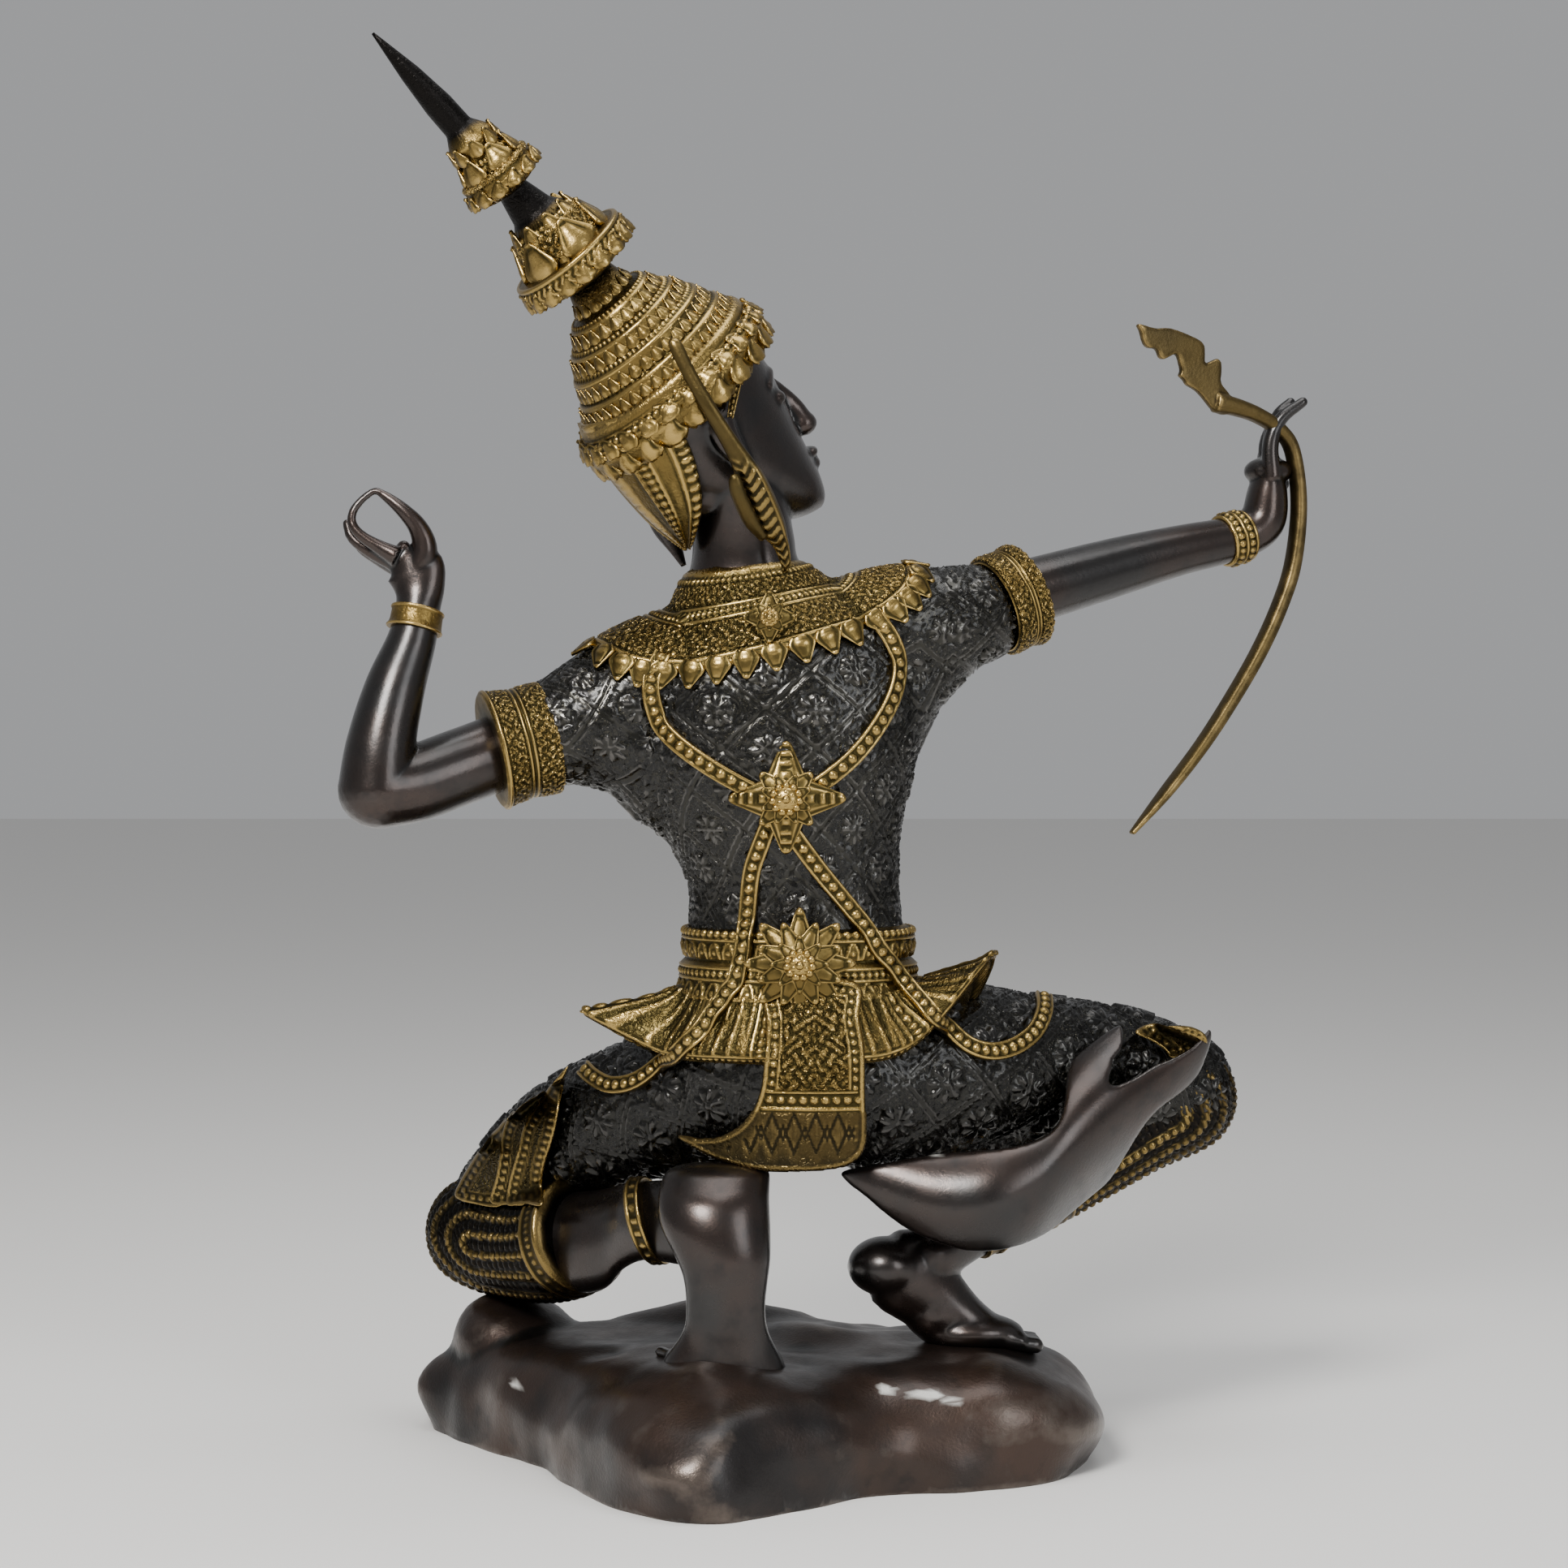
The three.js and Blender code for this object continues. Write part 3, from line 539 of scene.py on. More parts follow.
def from_edge(co, ring):
    """For each point, its distance from the closed outline and how far along the outline that is."""
    closed = np.vstack([ring, ring[:1]])
    step = np.linalg.norm(np.diff(closed, axis=0), axis=1)
    run = np.concatenate([[0], np.cumsum(step)])
    best, place = np.full(len(co), 1e9), np.zeros(len(co))
    for a, b, start, length in zip(closed[:-1], closed[1:], run, step):
        share = np.clip(((co[:, [0, 2]] - a) @ (b - a)) / max(length, 1e-6) ** 2, 0, 1)
        far = np.linalg.norm(co[:, [0, 2]] - a - share[:, None] * (b - a), axis=1)
        place = np.where(far < best, start + share * length, place)
        best = np.minimum(best, far)
    return best, place


# %% [markdown]
# Cast metal is never quite even, and an old casting is chipped. Blender's noise textures work in a
# material, but the rock's swell has to be in its mesh. So a small noise is worked out here, from sines
# alone, and every run gives the same casting.
# %% Even noise and chips
def noise3(p, size, seed=0.0):
    """Smooth noise from 0 to 1 at points in space, with lumps about size millimetres across."""
    q = np.asarray(p, float) / size
    base = np.floor(q)
    f = q - base
    f = f * f * (3 - 2 * f)
    out = np.zeros(len(q))
    for corner in np.ndindex(2, 2, 2):
        cell = base + corner
        value = np.sin(cell @ np.array([12.9898, 78.233, 37.719]) + seed) * 43758.5453 % 1
        share = np.where(corner, f, 1 - f).prod(axis=1)
        out += value * share
    return out


def chalk(mesh, spots):
    """Notes pale chipped spots, each at x and z as seen from behind, with two half sizes."""
    co, normal = read(mesh, "co", 3), read(mesh, "normal", 3)
    mask = np.zeros(len(co))
    rough = 0.7 * (noise3(co, 3.2, 9.0) - 0.5) + 0.5 * (noise3(co, 1.6, 5.0) - 0.5)
    for x, z, wide, tall in spots:
        near = 1 - np.hypot((co[:, 0] - x) / wide, (co[:, 2] - z) / tall) + rough
        mask = np.maximum(mask, np.clip(near * 4, 0, 1) * (normal[:, 1] < -0.1) * (co[:, 1] < 20))
    write(mesh, "chalk", mask)


print("the noise at three places:", noise3([(0, 0, 0), (5, 5, 5), (9, 2, 4)], 10).round(2))

# %% [markdown]
# ## Finishes
#
# The bronze shows three finishes. Bare skin and rock carry a dark brown patina with a soft gloss. The
# ornaments were gilt, and the gold has stayed in a dull olive tone, bright on the worn heights and
# nearly black in the recesses. The cloth is darkened gilt relief. Each point of a mesh already knows
# how high its relief is, so the finishes read that number instead of guessing from light.
# %% Nodes, added in one line each
def add(tree, kind, links=None, **settings):
    """Adds a node, sets its settings and plain values, and links its inputs."""
    node = tree.nodes.new(kind)
    for name, value in settings.items():
        setattr(node, name, value)
    for name, value in (links or {}).items():
        socket = node.inputs[name]
        if isinstance(value, bpy.types.NodeSocket):
            tree.links.new(value, socket)
        else:
            socket.default_value = value
    return node


def ramp(tree, factor, stops):
    """A colour ramp with stops of place and colour."""
    node = add(tree, "ShaderNodeValToRGB", {"Fac": factor})
    for _ in range(len(stops) - 2):
        node.color_ramp.elements.new(0.5)
    for element, (place, colour) in zip(node.color_ramp.elements, stops):
        element.position = place
        element.color = (*colour, 1)
    return node.outputs["Color"]


def new_group(name, inputs, outputs):
    """An empty node group with named number inputs and outputs."""
    group = bpy.data.node_groups.new(name, "ShaderNodeTree")
    for label, value in inputs.items():
        group.interface.new_socket(label, in_out="INPUT", socket_type="NodeSocketFloat").default_value = value
    for label in outputs:
        group.interface.new_socket(label, in_out="OUTPUT", socket_type="NodeSocketFloat")
    return group, group.nodes.new("NodeGroupInput"), group.nodes.new("NodeGroupOutput")


def use_group(tree, group, **values):
    """Places a node group, with its inputs set or linked."""
    node = tree.nodes.new("ShaderNodeGroup")
    node.node_tree = group
    for label, value in values.items():
        socket = node.inputs[label.replace("_", " ")]
        if isinstance(value, bpy.types.NodeSocket):
            tree.links.new(value, socket)
        else:
            socket.default_value = value
    return node


# %% [markdown]
# Old cast metal changes at three sizes: broad clouds of colour, patches of dirt and a fine grain. All the
# finishes share them, so they are one node group with three outputs.
# %% Cast grain
def make_grain():
    """Broad clouds, small patches and fine grain, as on old cast metal."""
    group, given, out = new_group("Cast grain", {"Scale": 1.0}, ["Clouds", "Patches", "Grain"])
    where = add(group, "ShaderNodeTexCoord").outputs["Object"]
    for label, scale, detail in (("Clouds", 14, 3), ("Patches", 70, 4), ("Grain", 600, 2)):
        size = add(group, "ShaderNodeMath", {0: given.outputs["Scale"], 1: scale}, operation="MULTIPLY")
        links = {"Vector": where, "Scale": size.outputs[0], "Detail": detail, "Roughness": 0.6}
        noise = add(group, "ShaderNodeTexNoise", links)
        group.links.new(noise.outputs["Fac"], out.inputs[label])
    return group


grain = make_grain()
print("outputs of the grain:",
      [socket.name for socket in grain.interface.items_tree if socket.in_out == "OUTPUT"])

# %% [markdown]
# The smallest curls of the cloth are a fraction of a millimetre deep, and as mesh they would take
# millions of triangles. A Voronoi texture whose cells drift looks much like them. It is a bump, and it
# shows only where the mesh's own numbers ask for it.
# %% Small curls
def make_curls():
    """Small curling lobes with creases between them, about three millimetres across."""
    group, given, out = new_group("Small curls", {"Scale": 320.0}, ["Height"])
    where = add(group, "ShaderNodeTexCoord").outputs["Object"]
    drift = add(group, "ShaderNodeTexNoise", {"Vector": where, "Scale": 170, "Detail": 1})
    shift = add(group, "ShaderNodeVectorMath", {0: drift.outputs["Color"], 1: (0.007, 0.007, 0.007),
                                                2: where}, operation="MULTIPLY_ADD")
    cells = add(group, "ShaderNodeTexVoronoi", {"Vector": shift.outputs[0], "Scale": given.outputs["Scale"]},
                feature="DISTANCE_TO_EDGE")
    lobes = add(group, "ShaderNodeMapRange", {"Value": cells.outputs["Distance"], "From Min": 0.02,
                                              "From Max": 0.26}, interpolation_type="SMOOTHSTEP")
    lines = add(group, "ShaderNodeMath", {0: drift.outputs["Fac"], 1: 42.0}, operation="MULTIPLY")
    waves = add(group, "ShaderNodeMath", {0: lines.outputs[0]}, operation="SINE")
    soft = add(group, "ShaderNodeMath", {0: waves.outputs[0], 1: 0.22, 2: 0.78}, operation="MULTIPLY_ADD")
    height = add(group, "ShaderNodeMath", {0: lobes.outputs[0], 1: soft.outputs[0]}, operation="MULTIPLY")
    group.links.new(height.outputs[0], out.inputs["Height"])
    return group


curls = make_curls()
print("nodes in the small curls:", len(curls.nodes))

# %% [markdown]
# Touch rubs the heights bright, and dirt stays in the hollows. Both follow from the relief that the mesh
# carries, and the patches break them up, so that no rubbed edge is even.
# %% Worn relief
def make_worn():
    """Turns relief height, edge and patches into two masks: rubbed heights and filled recesses."""
    inputs = {"Patches": 0.5, "Clouds": 0.5, "Wear": 0.5, "Dirt": 0.5, "Fine": 0.0}
    group, given, out = new_group("Worn relief", inputs, ["Rubbed", "Recess"])
    relief = add(group, "ShaderNodeAttribute", attribute_name="relief").outputs["Fac"]
    edge = add(group, "ShaderNodeAttribute", attribute_name="edge").outputs["Fac"]

    def math_node(kind, a, b):
        return add(group, "ShaderNodeMath", {0: a, 1: b}, operation=kind).outputs[0]

    high = math_node("MULTIPLY", relief, 0.75)
    high = math_node("ADD", math_node("ADD", high, edge), given.outputs["Fine"])
    spots = math_node("ADD", given.outputs["Patches"], given.outputs["Clouds"])
    spots = math_node("SUBTRACT", spots, 1.0)
    rubbed = math_node("ADD", math_node("MULTIPLY", spots, 1.6), high)
    rubbed = math_node("ADD", rubbed, math_node("MULTIPLY", given.outputs["Wear"], 1.2))
    rubbed = math_node("SUBTRACT", rubbed, 1.2)
    clear = add(group, "ShaderNodeMapRange", {"Value": rubbed, "From Min": -0.05, "From Max": 0.55})
    group.links.new(clear.outputs[0], out.inputs["Rubbed"])
    low = math_node("SUBTRACT", given.outputs["Dirt"], high)
    low = math_node("ADD", low, math_node("MULTIPLY", spots, 0.8))
    dark = add(group, "ShaderNodeMapRange", {"Value": low, "From Min": -0.1, "From Max": 0.35})
    group.links.new(dark.outputs[0], out.inputs["Recess"])
    return group


worn = make_worn()
print("node groups:", [g.name for g in bpy.data.node_groups])

# %% [markdown]
# ## One recipe for all the metals
#
# All the metals share one recipe: a recess colour, two body colours that drift into each other, and a
# rubbed colour on the heights. The roughness follows the same masks, because rubbed metal shines more
# than the dirt beside it. A fine bump gives the surface the grain of a casting.
# %% Metal recipe
CHALK = (0.5, 0.49, 0.46)  # the pale ground that shows at chips


def metal(name, recess, body, tint, rubbed, wear, dirt, rough, shine, metallic, coat=0.0, bump=0.25,
          bare=None, curl_scale=360.0, curl_depth=0.0011):
    """A metal with dirt in its recesses and rubbed heights; bare is its colour where it isn't gilt."""
    material = bpy.data.materials.new(name)
    material.use_nodes = True
    tree = material.node_tree
    shader = tree.nodes["Principled BSDF"]
    cast = use_group(tree, grain, Scale=1.0)
    clouds, patches, fine = [cast.outputs[k] for k in ("Clouds", "Patches", "Grain")]
    amount = add(tree, "ShaderNodeAttribute", attribute_name="curls").outputs["Fac"]
    lobes = use_group(tree, curls, Scale=curl_scale).outputs["Height"]
    curled = add(tree, "ShaderNodeMath", {0: lobes, 1: amount}, operation="MULTIPLY").outputs[0]
    lift = add(tree, "ShaderNodeMath", {0: amount, 1: -0.5}, operation="MULTIPLY").outputs[0]
    lifted = add(tree, "ShaderNodeMath", {0: curled, 1: 0.9, 2: lift}, operation="MULTIPLY_ADD").outputs[0]
    masks = use_group(tree, worn, Patches=patches, Clouds=clouds, Wear=wear, Dirt=dirt, Fine=lifted)
    mixed = add(tree, "ShaderNodeMapRange", {"Value": clouds, "From Min": 0.38, "From Max": 0.62})
    base = ramp(tree, mixed.outputs[0], [(0, body), (1, tint)])

    def over(mask, below, colour):
        node = add(tree, "ShaderNodeMix", {"Factor": mask}, data_type="RGBA")
        tree.links.new(below, node.inputs[6])
        node.inputs[7].default_value = (*colour, 1)
        return node.outputs[2]

    speckled = add(tree, "ShaderNodeMapRange", {"Value": patches, "From Min": 0.55, "From Max": 0.75,
                                                "To Max": 0.5})
    base = over(speckled.outputs[0], base, recess)
    base = over(masks.outputs["Rubbed"], base, rubbed)
    base = over(masks.outputs["Recess"], base, recess)
    if bare:
        gilding = add(tree, "ShaderNodeAttribute", attribute_name="gilding").outputs["Fac"]
        whole = add(tree, "ShaderNodeMix", {"Factor": gilding}, data_type="RGBA")
        whole.inputs[6].default_value = (*bare, 1)
        tree.links.new(base, whole.inputs[7])
        base = whole.outputs[2]
    chalk = add(tree, "ShaderNodeAttribute", attribute_name="chalk").outputs["Fac"]
    base = over(chalk, base, CHALK)
    tree.links.new(base, shader.inputs["Base Color"])
    solid = add(tree, "ShaderNodeMapRange", {"Value": chalk, "To Min": metallic, "To Max": 0.0})
    tree.links.new(solid.outputs[0], shader.inputs["Metallic"])
    dull = add(tree, "ShaderNodeMapRange", {"Value": patches, "From Min": 0.3, "From Max": 0.7,
                                            "To Min": rough - 0.07, "To Max": rough + 0.1})
    gloss = add(tree, "ShaderNodeMix", {"Factor": masks.outputs["Rubbed"]}, data_type="FLOAT")
    tree.links.new(dull.outputs[0], gloss.inputs[2])
    gloss.inputs[3].default_value = shine
    tree.links.new(gloss.outputs[0], shader.inputs["Roughness"])
    shader.inputs["Coat Weight"].default_value = coat
    shader.inputs["Coat Roughness"].default_value = 0.25
    grainy = add(tree, "ShaderNodeMath", {0: patches, 1: fine}, operation="ADD")
    small = add(tree, "ShaderNodeBump", {"Strength": 1.0, "Distance": curl_depth, "Height": curled})
    rise = add(tree, "ShaderNodeBump", {"Strength": bump, "Distance": 0.0006, "Height": grainy.outputs[0],
                                        "Normal": small.outputs["Normal"]})
    tree.links.new(rise.outputs["Normal"], shader.inputs["Normal"])
    return material


# %% [markdown]
# The seven finishes differ in their colours and amounts alone. Their colours are dark, because metal
# takes its brightness from what it reflects. Wear, dirt, roughness and shine follow the four colours.
# %% The finishes
skin_bronze = metal("Dark brown patina", (0.008, 0.007, 0.007), (0.02, 0.0185, 0.018), (0.036, 0.022, 0.017),
                    (0.06, 0.054, 0.05), 0.27, 0.0, 0.29, 0.25, 0.88, coat=0.6, bump=0.2)
rock_bronze = metal("Rock patina", (0.008, 0.007, 0.006), (0.016, 0.0135, 0.013), (0.046, 0.027, 0.019),
                    (0.1, 0.078, 0.064), 0.28, 0.0, 0.38, 0.32, 0.75, coat=0.3, bump=0.3)
cloth_bronze = metal("Blackened relief", (0.011, 0.0095, 0.005), (0.009, 0.0086, 0.0078),
                     (0.016, 0.0145, 0.0095), (0.066, 0.062, 0.056), 0.26, 0.3, 0.24, 0.15, 0.9, coat=0.6,
                     bump=0.25, curl_scale=290.0, curl_depth=0.0032)
# The trousers' finish is a darker copy of the coat's: painted shade over the lower body, on top of the
# blackened colour that both share.
shaded_trouser_bronze = metal("Blackened trousers in painted shade", (0.008, 0.0072, 0.0045), (0.005, 0.0047, 0.0042),
                       (0.009, 0.008, 0.0056), (0.034, 0.032, 0.029), 0.2, 0.3, 0.27, 0.18, 0.9, coat=0.5,
                       bump=0.25, curl_scale=260.0, curl_depth=0.0026)
gilt = metal("Worn gilt", (0.042, 0.032, 0.011), (0.155, 0.103, 0.031), (0.105, 0.077, 0.026),
             (0.38, 0.262, 0.086), 0.38, 0.4, 0.38, 0.27, 1.0, bump=0.25, bare=(0.011, 0.01, 0.0095),
             curl_scale=400.0, curl_depth=0.0014)
smooth_gilt = metal("Smooth gilt", (0.04, 0.03, 0.011), (0.18, 0.12, 0.036), (0.12, 0.086, 0.03),
                    (0.42, 0.29, 0.1), 0.45, 0.08, 0.4, 0.3, 1.0, bump=0.25)
bow_brass = metal("Satin brass", (0.025, 0.018, 0.009), (0.11, 0.078, 0.03), (0.07, 0.052, 0.024),
                  (0.27, 0.19, 0.075), 0.4, 0.12, 0.42, 0.34, 1.0, bump=0.2)
print("finishes:", [material.name for material in bpy.data.materials])


def gild(name, mesh, material=gilt, share=0.6):
    """Puts a gilt piece in place."""
    put(name, mesh, material, share=share)


def leave_bare(name, mesh, material=skin_bronze, share=0.35):
    """Puts a dark bronze piece in place."""
    put(name, mesh, material, share=share)


# %% [markdown]
# ## The rock
#
# The figure kneels on a low rock, cast in one with it. A rock of wax is a lump pressed into soft lobes,
# so it is rolled from one closed outline, melted together with three mounds, swollen with slow noise
# and cut flat where it stands.
# %% Rock
ROCK_OUTLINE = [
    (-213, 92), (-203, 60), (-178, 28), (-151, -12), (-132, -58), (-104, -111), (-62, -134), (-23, -111),
    (14, -78), (62, -69), (106, -46), (126, 8), (126, 66), (94, 106), (40, 120), (-40, 134), (-120, 138),
    (-184, 126)]
ROCK_MIDDLE = (-44, 12)
ROCK_LEVELS = [(-12, 0.97), (9, 1), (26, 1), (41, 0.94), (52, 0.82), (59, 0.6), (61, 0.3), (61.5, 0.01)]
ROCK_MOUNDS = [((-166, 88, 44), (38, 40, 28)), ((-58, -52, 42), (52, 44, 19)), ((-66, 86, 42), (72, 40, 25))]
ROCK_CHIPS = [(21, 47.5, 3.6, 2), (40, 44.5, 7.5, 2.4), (51, 42, 3.4, 1.6), (-161, 37, 3.6, 2)]


class RockShape:
    """The rock's flank and top, from its outline and levels."""

    def place(self, s, t):
        ring = smooth_rows(ROCK_OUTLINE[-3:] + ROCK_OUTLINE + ROCK_OUTLINE[:3], 10)[30:-20]
        z, share = along_rows(smooth_rows(ROCK_LEVELS), t)
        x, y = along_rows(ring, s)
        share = share * (1 + 0.03 * np.sin(s * 14 * math.pi + z * 0.05) * np.clip(z / 20, 0, 1))
        cx, cy = ROCK_MIDDLE
        return np.column_stack([cx + (x - cx) * share, cy + (y - cy) * share, z])


def make_rock():
    """The rock, melted, swollen and cut flat."""
    mesh = fused([skin(RockShape(), 200, 60)] + [ball(*m) for m in ROCK_MOUNDS], 2.3, 8)
    co = read(mesh, "co", 3)
    bent = co + 26 * noise3(co, 55)[:, None]
    swell = 10.0 * (noise3(bent, 46) - 0.5) + 2.6 * (noise3(co, 19, 4.0) - 0.5)
    raise_relief(mesh, swell - 1.5, 0.45 + swell / 14)
    chalk(mesh, ROCK_CHIPS)
    bm = bmesh.new()
    bm.from_mesh(mesh)
    every = bm.verts[:] + bm.edges[:] + bm.faces[:]
    bmesh.ops.bisect_plane(bm, geom=every, plane_co=(0, 0, 0), plane_no=(0, 0, -1), clear_outer=True)
    bmesh.ops.holes_fill(bm, edges=[e for e in bm.edges if e.is_boundary], sides=0)
    bm.to_mesh(mesh)
    bm.free()
    return mesh


leave_bare("rock", make_rock(), rock_bronze, 0.5)

# %% [markdown]
# ## The cloth's pattern
#
# The coat and the trousers carry one pattern: a slanted lattice of double lines, with an eight-petalled
# flower in each diamond and small stones packed round it. It is worked out from two lengths, u round
# the body and v up it, so that it runs over the shoulders and down the sleeves.
# %% Lattice and flowers
def lattice(u, v, filler, size, at, turn=0.0, bloom=1.0):
    """The cloth's relief, where 1 is the top of a line or petal, and where small curls belong.

    A diamond has a size, one flower lies at a place, and bloom makes the flowers larger."""
    c, s = math.cos(math.radians(turn)), math.sin(math.radians(turn))
    u, v = u - at[0], v - at[1]
    u, v = u * c + v * s + size[0] / 2, v * c - u * s
    a, b = u / size[0] + v / size[1], u / size[0] - v / size[1]
    reach = 1 / math.hypot(1 / size[0], 1 / size[1])
    line = np.minimum(np.abs((a + 0.5) % 1 - 0.5), np.abs((b + 0.5) % 1 - 0.5)) * reach
    double = ridge(line - 1.4, 1.0)
    ca, cb = a % 1 - 0.5, b % 1 - 0.5
    x, y = (ca + cb) / 2 * size[0] / bloom, (ca - cb) / 2 * size[1] / bloom
    r, turn = np.hypot(x, y), np.arctan2(y, x)
    off = ((turn / (2 * math.pi) * 8 + 0.5) % 1 - 0.5) * (2 * math.pi / 8) * r
    wide = 2.1 * np.sqrt(np.clip((r - 1.8) / 4.6, 0, 1)) * np.sqrt(np.clip((7.8 - r) / 1.8, 0, 1))
    petal = np.sqrt(np.clip(1 - (off / np.maximum(wide, 0.05)) ** 2, 0, None)) * (r < 7.8) * (r > 1.9)
    bead = dome(r, 2.0)
    fill = filler(u, v) * np.clip((line - 2.5) / 0.7, 0, 1) * np.clip((r - 8.2) / 0.7, 0, 1)
    small = np.clip((line - 2.2) / 0.6, 0, 1) * np.clip((r - 7.6) / 0.7, 0, 1)
    return np.maximum.reduce([0.72 * double, 0.95 * petal, 1.0 * bead, 0.85 * fill]), small


def vines(u, v):
    """Small curling lobes, as on the coat."""
    return 0.2 + 0.6 * scrolls(u, v, 5.2)


def stones(u, v):
    """Small round stones, as on the trousers."""
    return 0.08 + 0.45 * pebbles(u, v, 4.6)


middle_of_flower = lattice(np.array([0.0]), np.array([0.0]), stones, (45, 45), (0, 0))[0]
print("the middle of a flower stands", float(middle_of_flower[0]), "of the relief's height")

# %% [markdown]
# ## The coat
#
# The coat is a tight shirt with short sleeves, cast with the body. Its torso is a stack of level rings,
# its sleeves are tubes along the arms, and wax fills the armpits. An unwrapped map would cut the
# lattice at a seam below each arm. So the two lengths that place it turn smoothly from the torso's into
# the sleeve's.
# %% Limbs of the coat
TORSO = [
    (-19, 2, 222, 56, 43, 0), (-22, 1, 258, 53, 37, 0), (-23.5, 0, 288, 51.5, 35.5, 0),
    (-29, 0, 314, 58.5, 39, 2), (-35, 0, 348, 73, 44.5, 6), (-38.5, 0, 384, 77, 44, 10),
    (-40.5, 0, 404, 68, 39, 12), (-44, 0, 421, 44, 31, 13), (-47, 0, 442, 27.5, 25, 4),
    (-48, -2, 460, 25, 24, -5), (-51, -6, 482, 25, 24, -14)]
ARMPITS = [
    [(-128, -11, 361, 24, 24), (-100, -5, 356, 30, 27), (-78, -1, 336, 24, 28)],
    [(60, 17, 410, 18, 18), (34, 8, 387, 23, 20), (11, 3, 350, 24, 24)]]
SLEEVES = [
    [(-71, 0, 389, 34, 34), (-94, -2, 381, 34, 33.5), (-117, -8, 370, 31, 31),
     (-141, -15.7, 360.5, 24.8, 25.4), (-147, -17, 359, 22, 23)],
    [(0, 3, 404, 30, 30), (25, 6, 411, 29.5, 29.5), (45, 12, 414, 28.5, 28), (70.5, 23.6, 420.2, 24, 23.8),
     (76, 26, 422, 21.5, 21)]]


# %% Limbs of wax
def wax(rows, side=(0, 1, 0), steps=6, ends=(False, False)):
    """A round limb of wax as meshes to melt, with a ball at an end that shows."""
    tube = jointed(rows, side, steps)
    meshes = [skin(tube, 40, max(8, int(tube.length / 2.5)))]
    for at, closed in zip((0, -1), ends):
        if closed:
            row = list(rows[at]) + [rows[at][3]]
            meshes.append(ball(row[:3], (row[3], row[3], row[4])))
    return meshes


def round_from(co, middle):
    """The angle of points round a middle line, with nothing on the side that faces the viewer."""
    out = co - middle
    return np.arctan2(out[:, 2], -out[:, 1])


def along_limb(co, rows):
    """The nearest place along a limb's line: its length there, the point on the line and its own radius."""
    line = smooth_rows(rows, 12)
    run = np.concatenate([[0], np.cumsum(np.linalg.norm(np.diff(line[:, :3], axis=0), axis=1))])
    near = np.full(len(co), 1e9)
    best = np.zeros(len(co), int)
    for i, row in enumerate(line):
        far = ((co - row[:3]) ** 2).sum(axis=1)
        best = np.where(far < near, i, best)
        near = np.minimum(near, far)
    ahead = unit(np.gradient(line[:, :3], axis=0))[best]
    slide = ((co - line[best, :3]) * ahead).sum(axis=1)
    return run[best] + slide, line[best, :3] + ahead * slide[:, None], line[best, 3]


# %% Round and along the coat
FROM_BODY = [(-1, -19, 10), (1, 8, 38)]  # each sleeve's side, its pattern's shift, and where it takes over


def coat_uv(co):
    """How far each point is round the coat and up it, in millimetres."""
    rows = smooth_rows(TORSO, 10)
    cx, cy, rx, ry = [np.interp(co[:, 2], rows[:, 2], rows[:, k]) for k in (0, 1, 3, 4)]
    turn = np.arctan2((co[:, 0] - cx) / rx, -(co[:, 1] - cy) / ry)
    u, v = 60 * turn, co[:, 2].astype(float).copy()
    for rows, (sign, shift, begin) in zip(SLEEVES, FROM_BODY):
        length, middle, radius = along_limb(co, rows)
        start = rows[0][0]
        far = np.clip(((co[:, 0] - start) * sign - begin) / 16, 0, 1)
        u = u * (1 - far) + (start + sign * length + shift) * far
        v = v * (1 - far) + (middle[:, 2] + radius * round_from(co, middle)) * far
    return u, v


# %% The coat
COAT_DIAMOND, COAT_FLOWER, COAT_RELIEF = (37.5, 38.5), (19.4, 373.3), 2.1
RELIEF_SINK = 0.6  # how far the ground of the relief lies below the smooth form


def make_coat():
    """The coat's smooth form, and the same with its relief."""
    forms = [skin(stacked(TORSO[:9]), 120, 90)]
    for rows in ARMPITS:
        forms += wax(rows, ends=(False, True))
    for rows in SLEEVES:
        forms += wax(rows)
    plain = fused(forms, 1.35, 10)
    rich = plain.copy()
    co = read(rich, "co", 3)
    shape, small = lattice(*coat_uv(co), vines, COAT_DIAMOND, COAT_FLOWER)
    raise_relief(rich, COAT_RELIEF * shape - RELIEF_SINK, shape, small)
    return plain, rich


coat_form, coat = make_coat()
leave_bare("coat", coat, cloth_bronze, 0.66)

# %% [markdown]
# ## The trousers
#
# The trousers reach from the waist to a beaded cuff below each knee. Each thigh is a tube of wax melted
# to the hips. The pattern runs along each thigh, so its diamonds lean with the leg.
# %% Trousers
THIGHS = [
    [(-38, 4, 190, 42, 42), (-84, 34, 176, 36.5, 36.5), (-124, 64, 158.5, 33, 33),
     (-148, 82, 142, 30.5, 30.5), (-169, 97, 118, 28, 28), (-184, 104, 98, 25, 25)],
    [(4, 0, 190, 44, 44), (52, 20, 192, 44, 44), (92, 39, 190, 39, 39), (118, 52, 189, 35.5, 35.5),
     (146, 66, 185, 33, 33), (172, 78, 177, 29.5, 29.5)]]
SHINS = [
    [(-184, 104, 99, 26), (-168, 88, 98.5, 30), (-146, 64, 101.5, 29.6), (-133, 48, 105.5, 26.6),
     (-132.4, 47.4, 106, 24), (-118, 28, 114, 22.6), (-102.5, 8.4, 120, 20.4), (-102, 8, 120.2, 21.8),
     (-92, -7, 124, 20.8), (-91.5, -7.6, 124.4, 18), (-80, -24, 130, 16.5), (-70, -38, 134, 17)],
    [(173, 79, 173, 28.6), (152, 70, 163, 26.8), (130, 60, 150, 24.6), (95, 42, 128.5, 20.4),
     (94.4, 41.6, 128, 17.4), (76, 31.4, 117, 15), (75.4, 31, 116.7, 16.6), (66, 26, 112, 15.6),
     (65.4, 25.6, 111.6, 13.8), (44, 13, 102, 16)]]
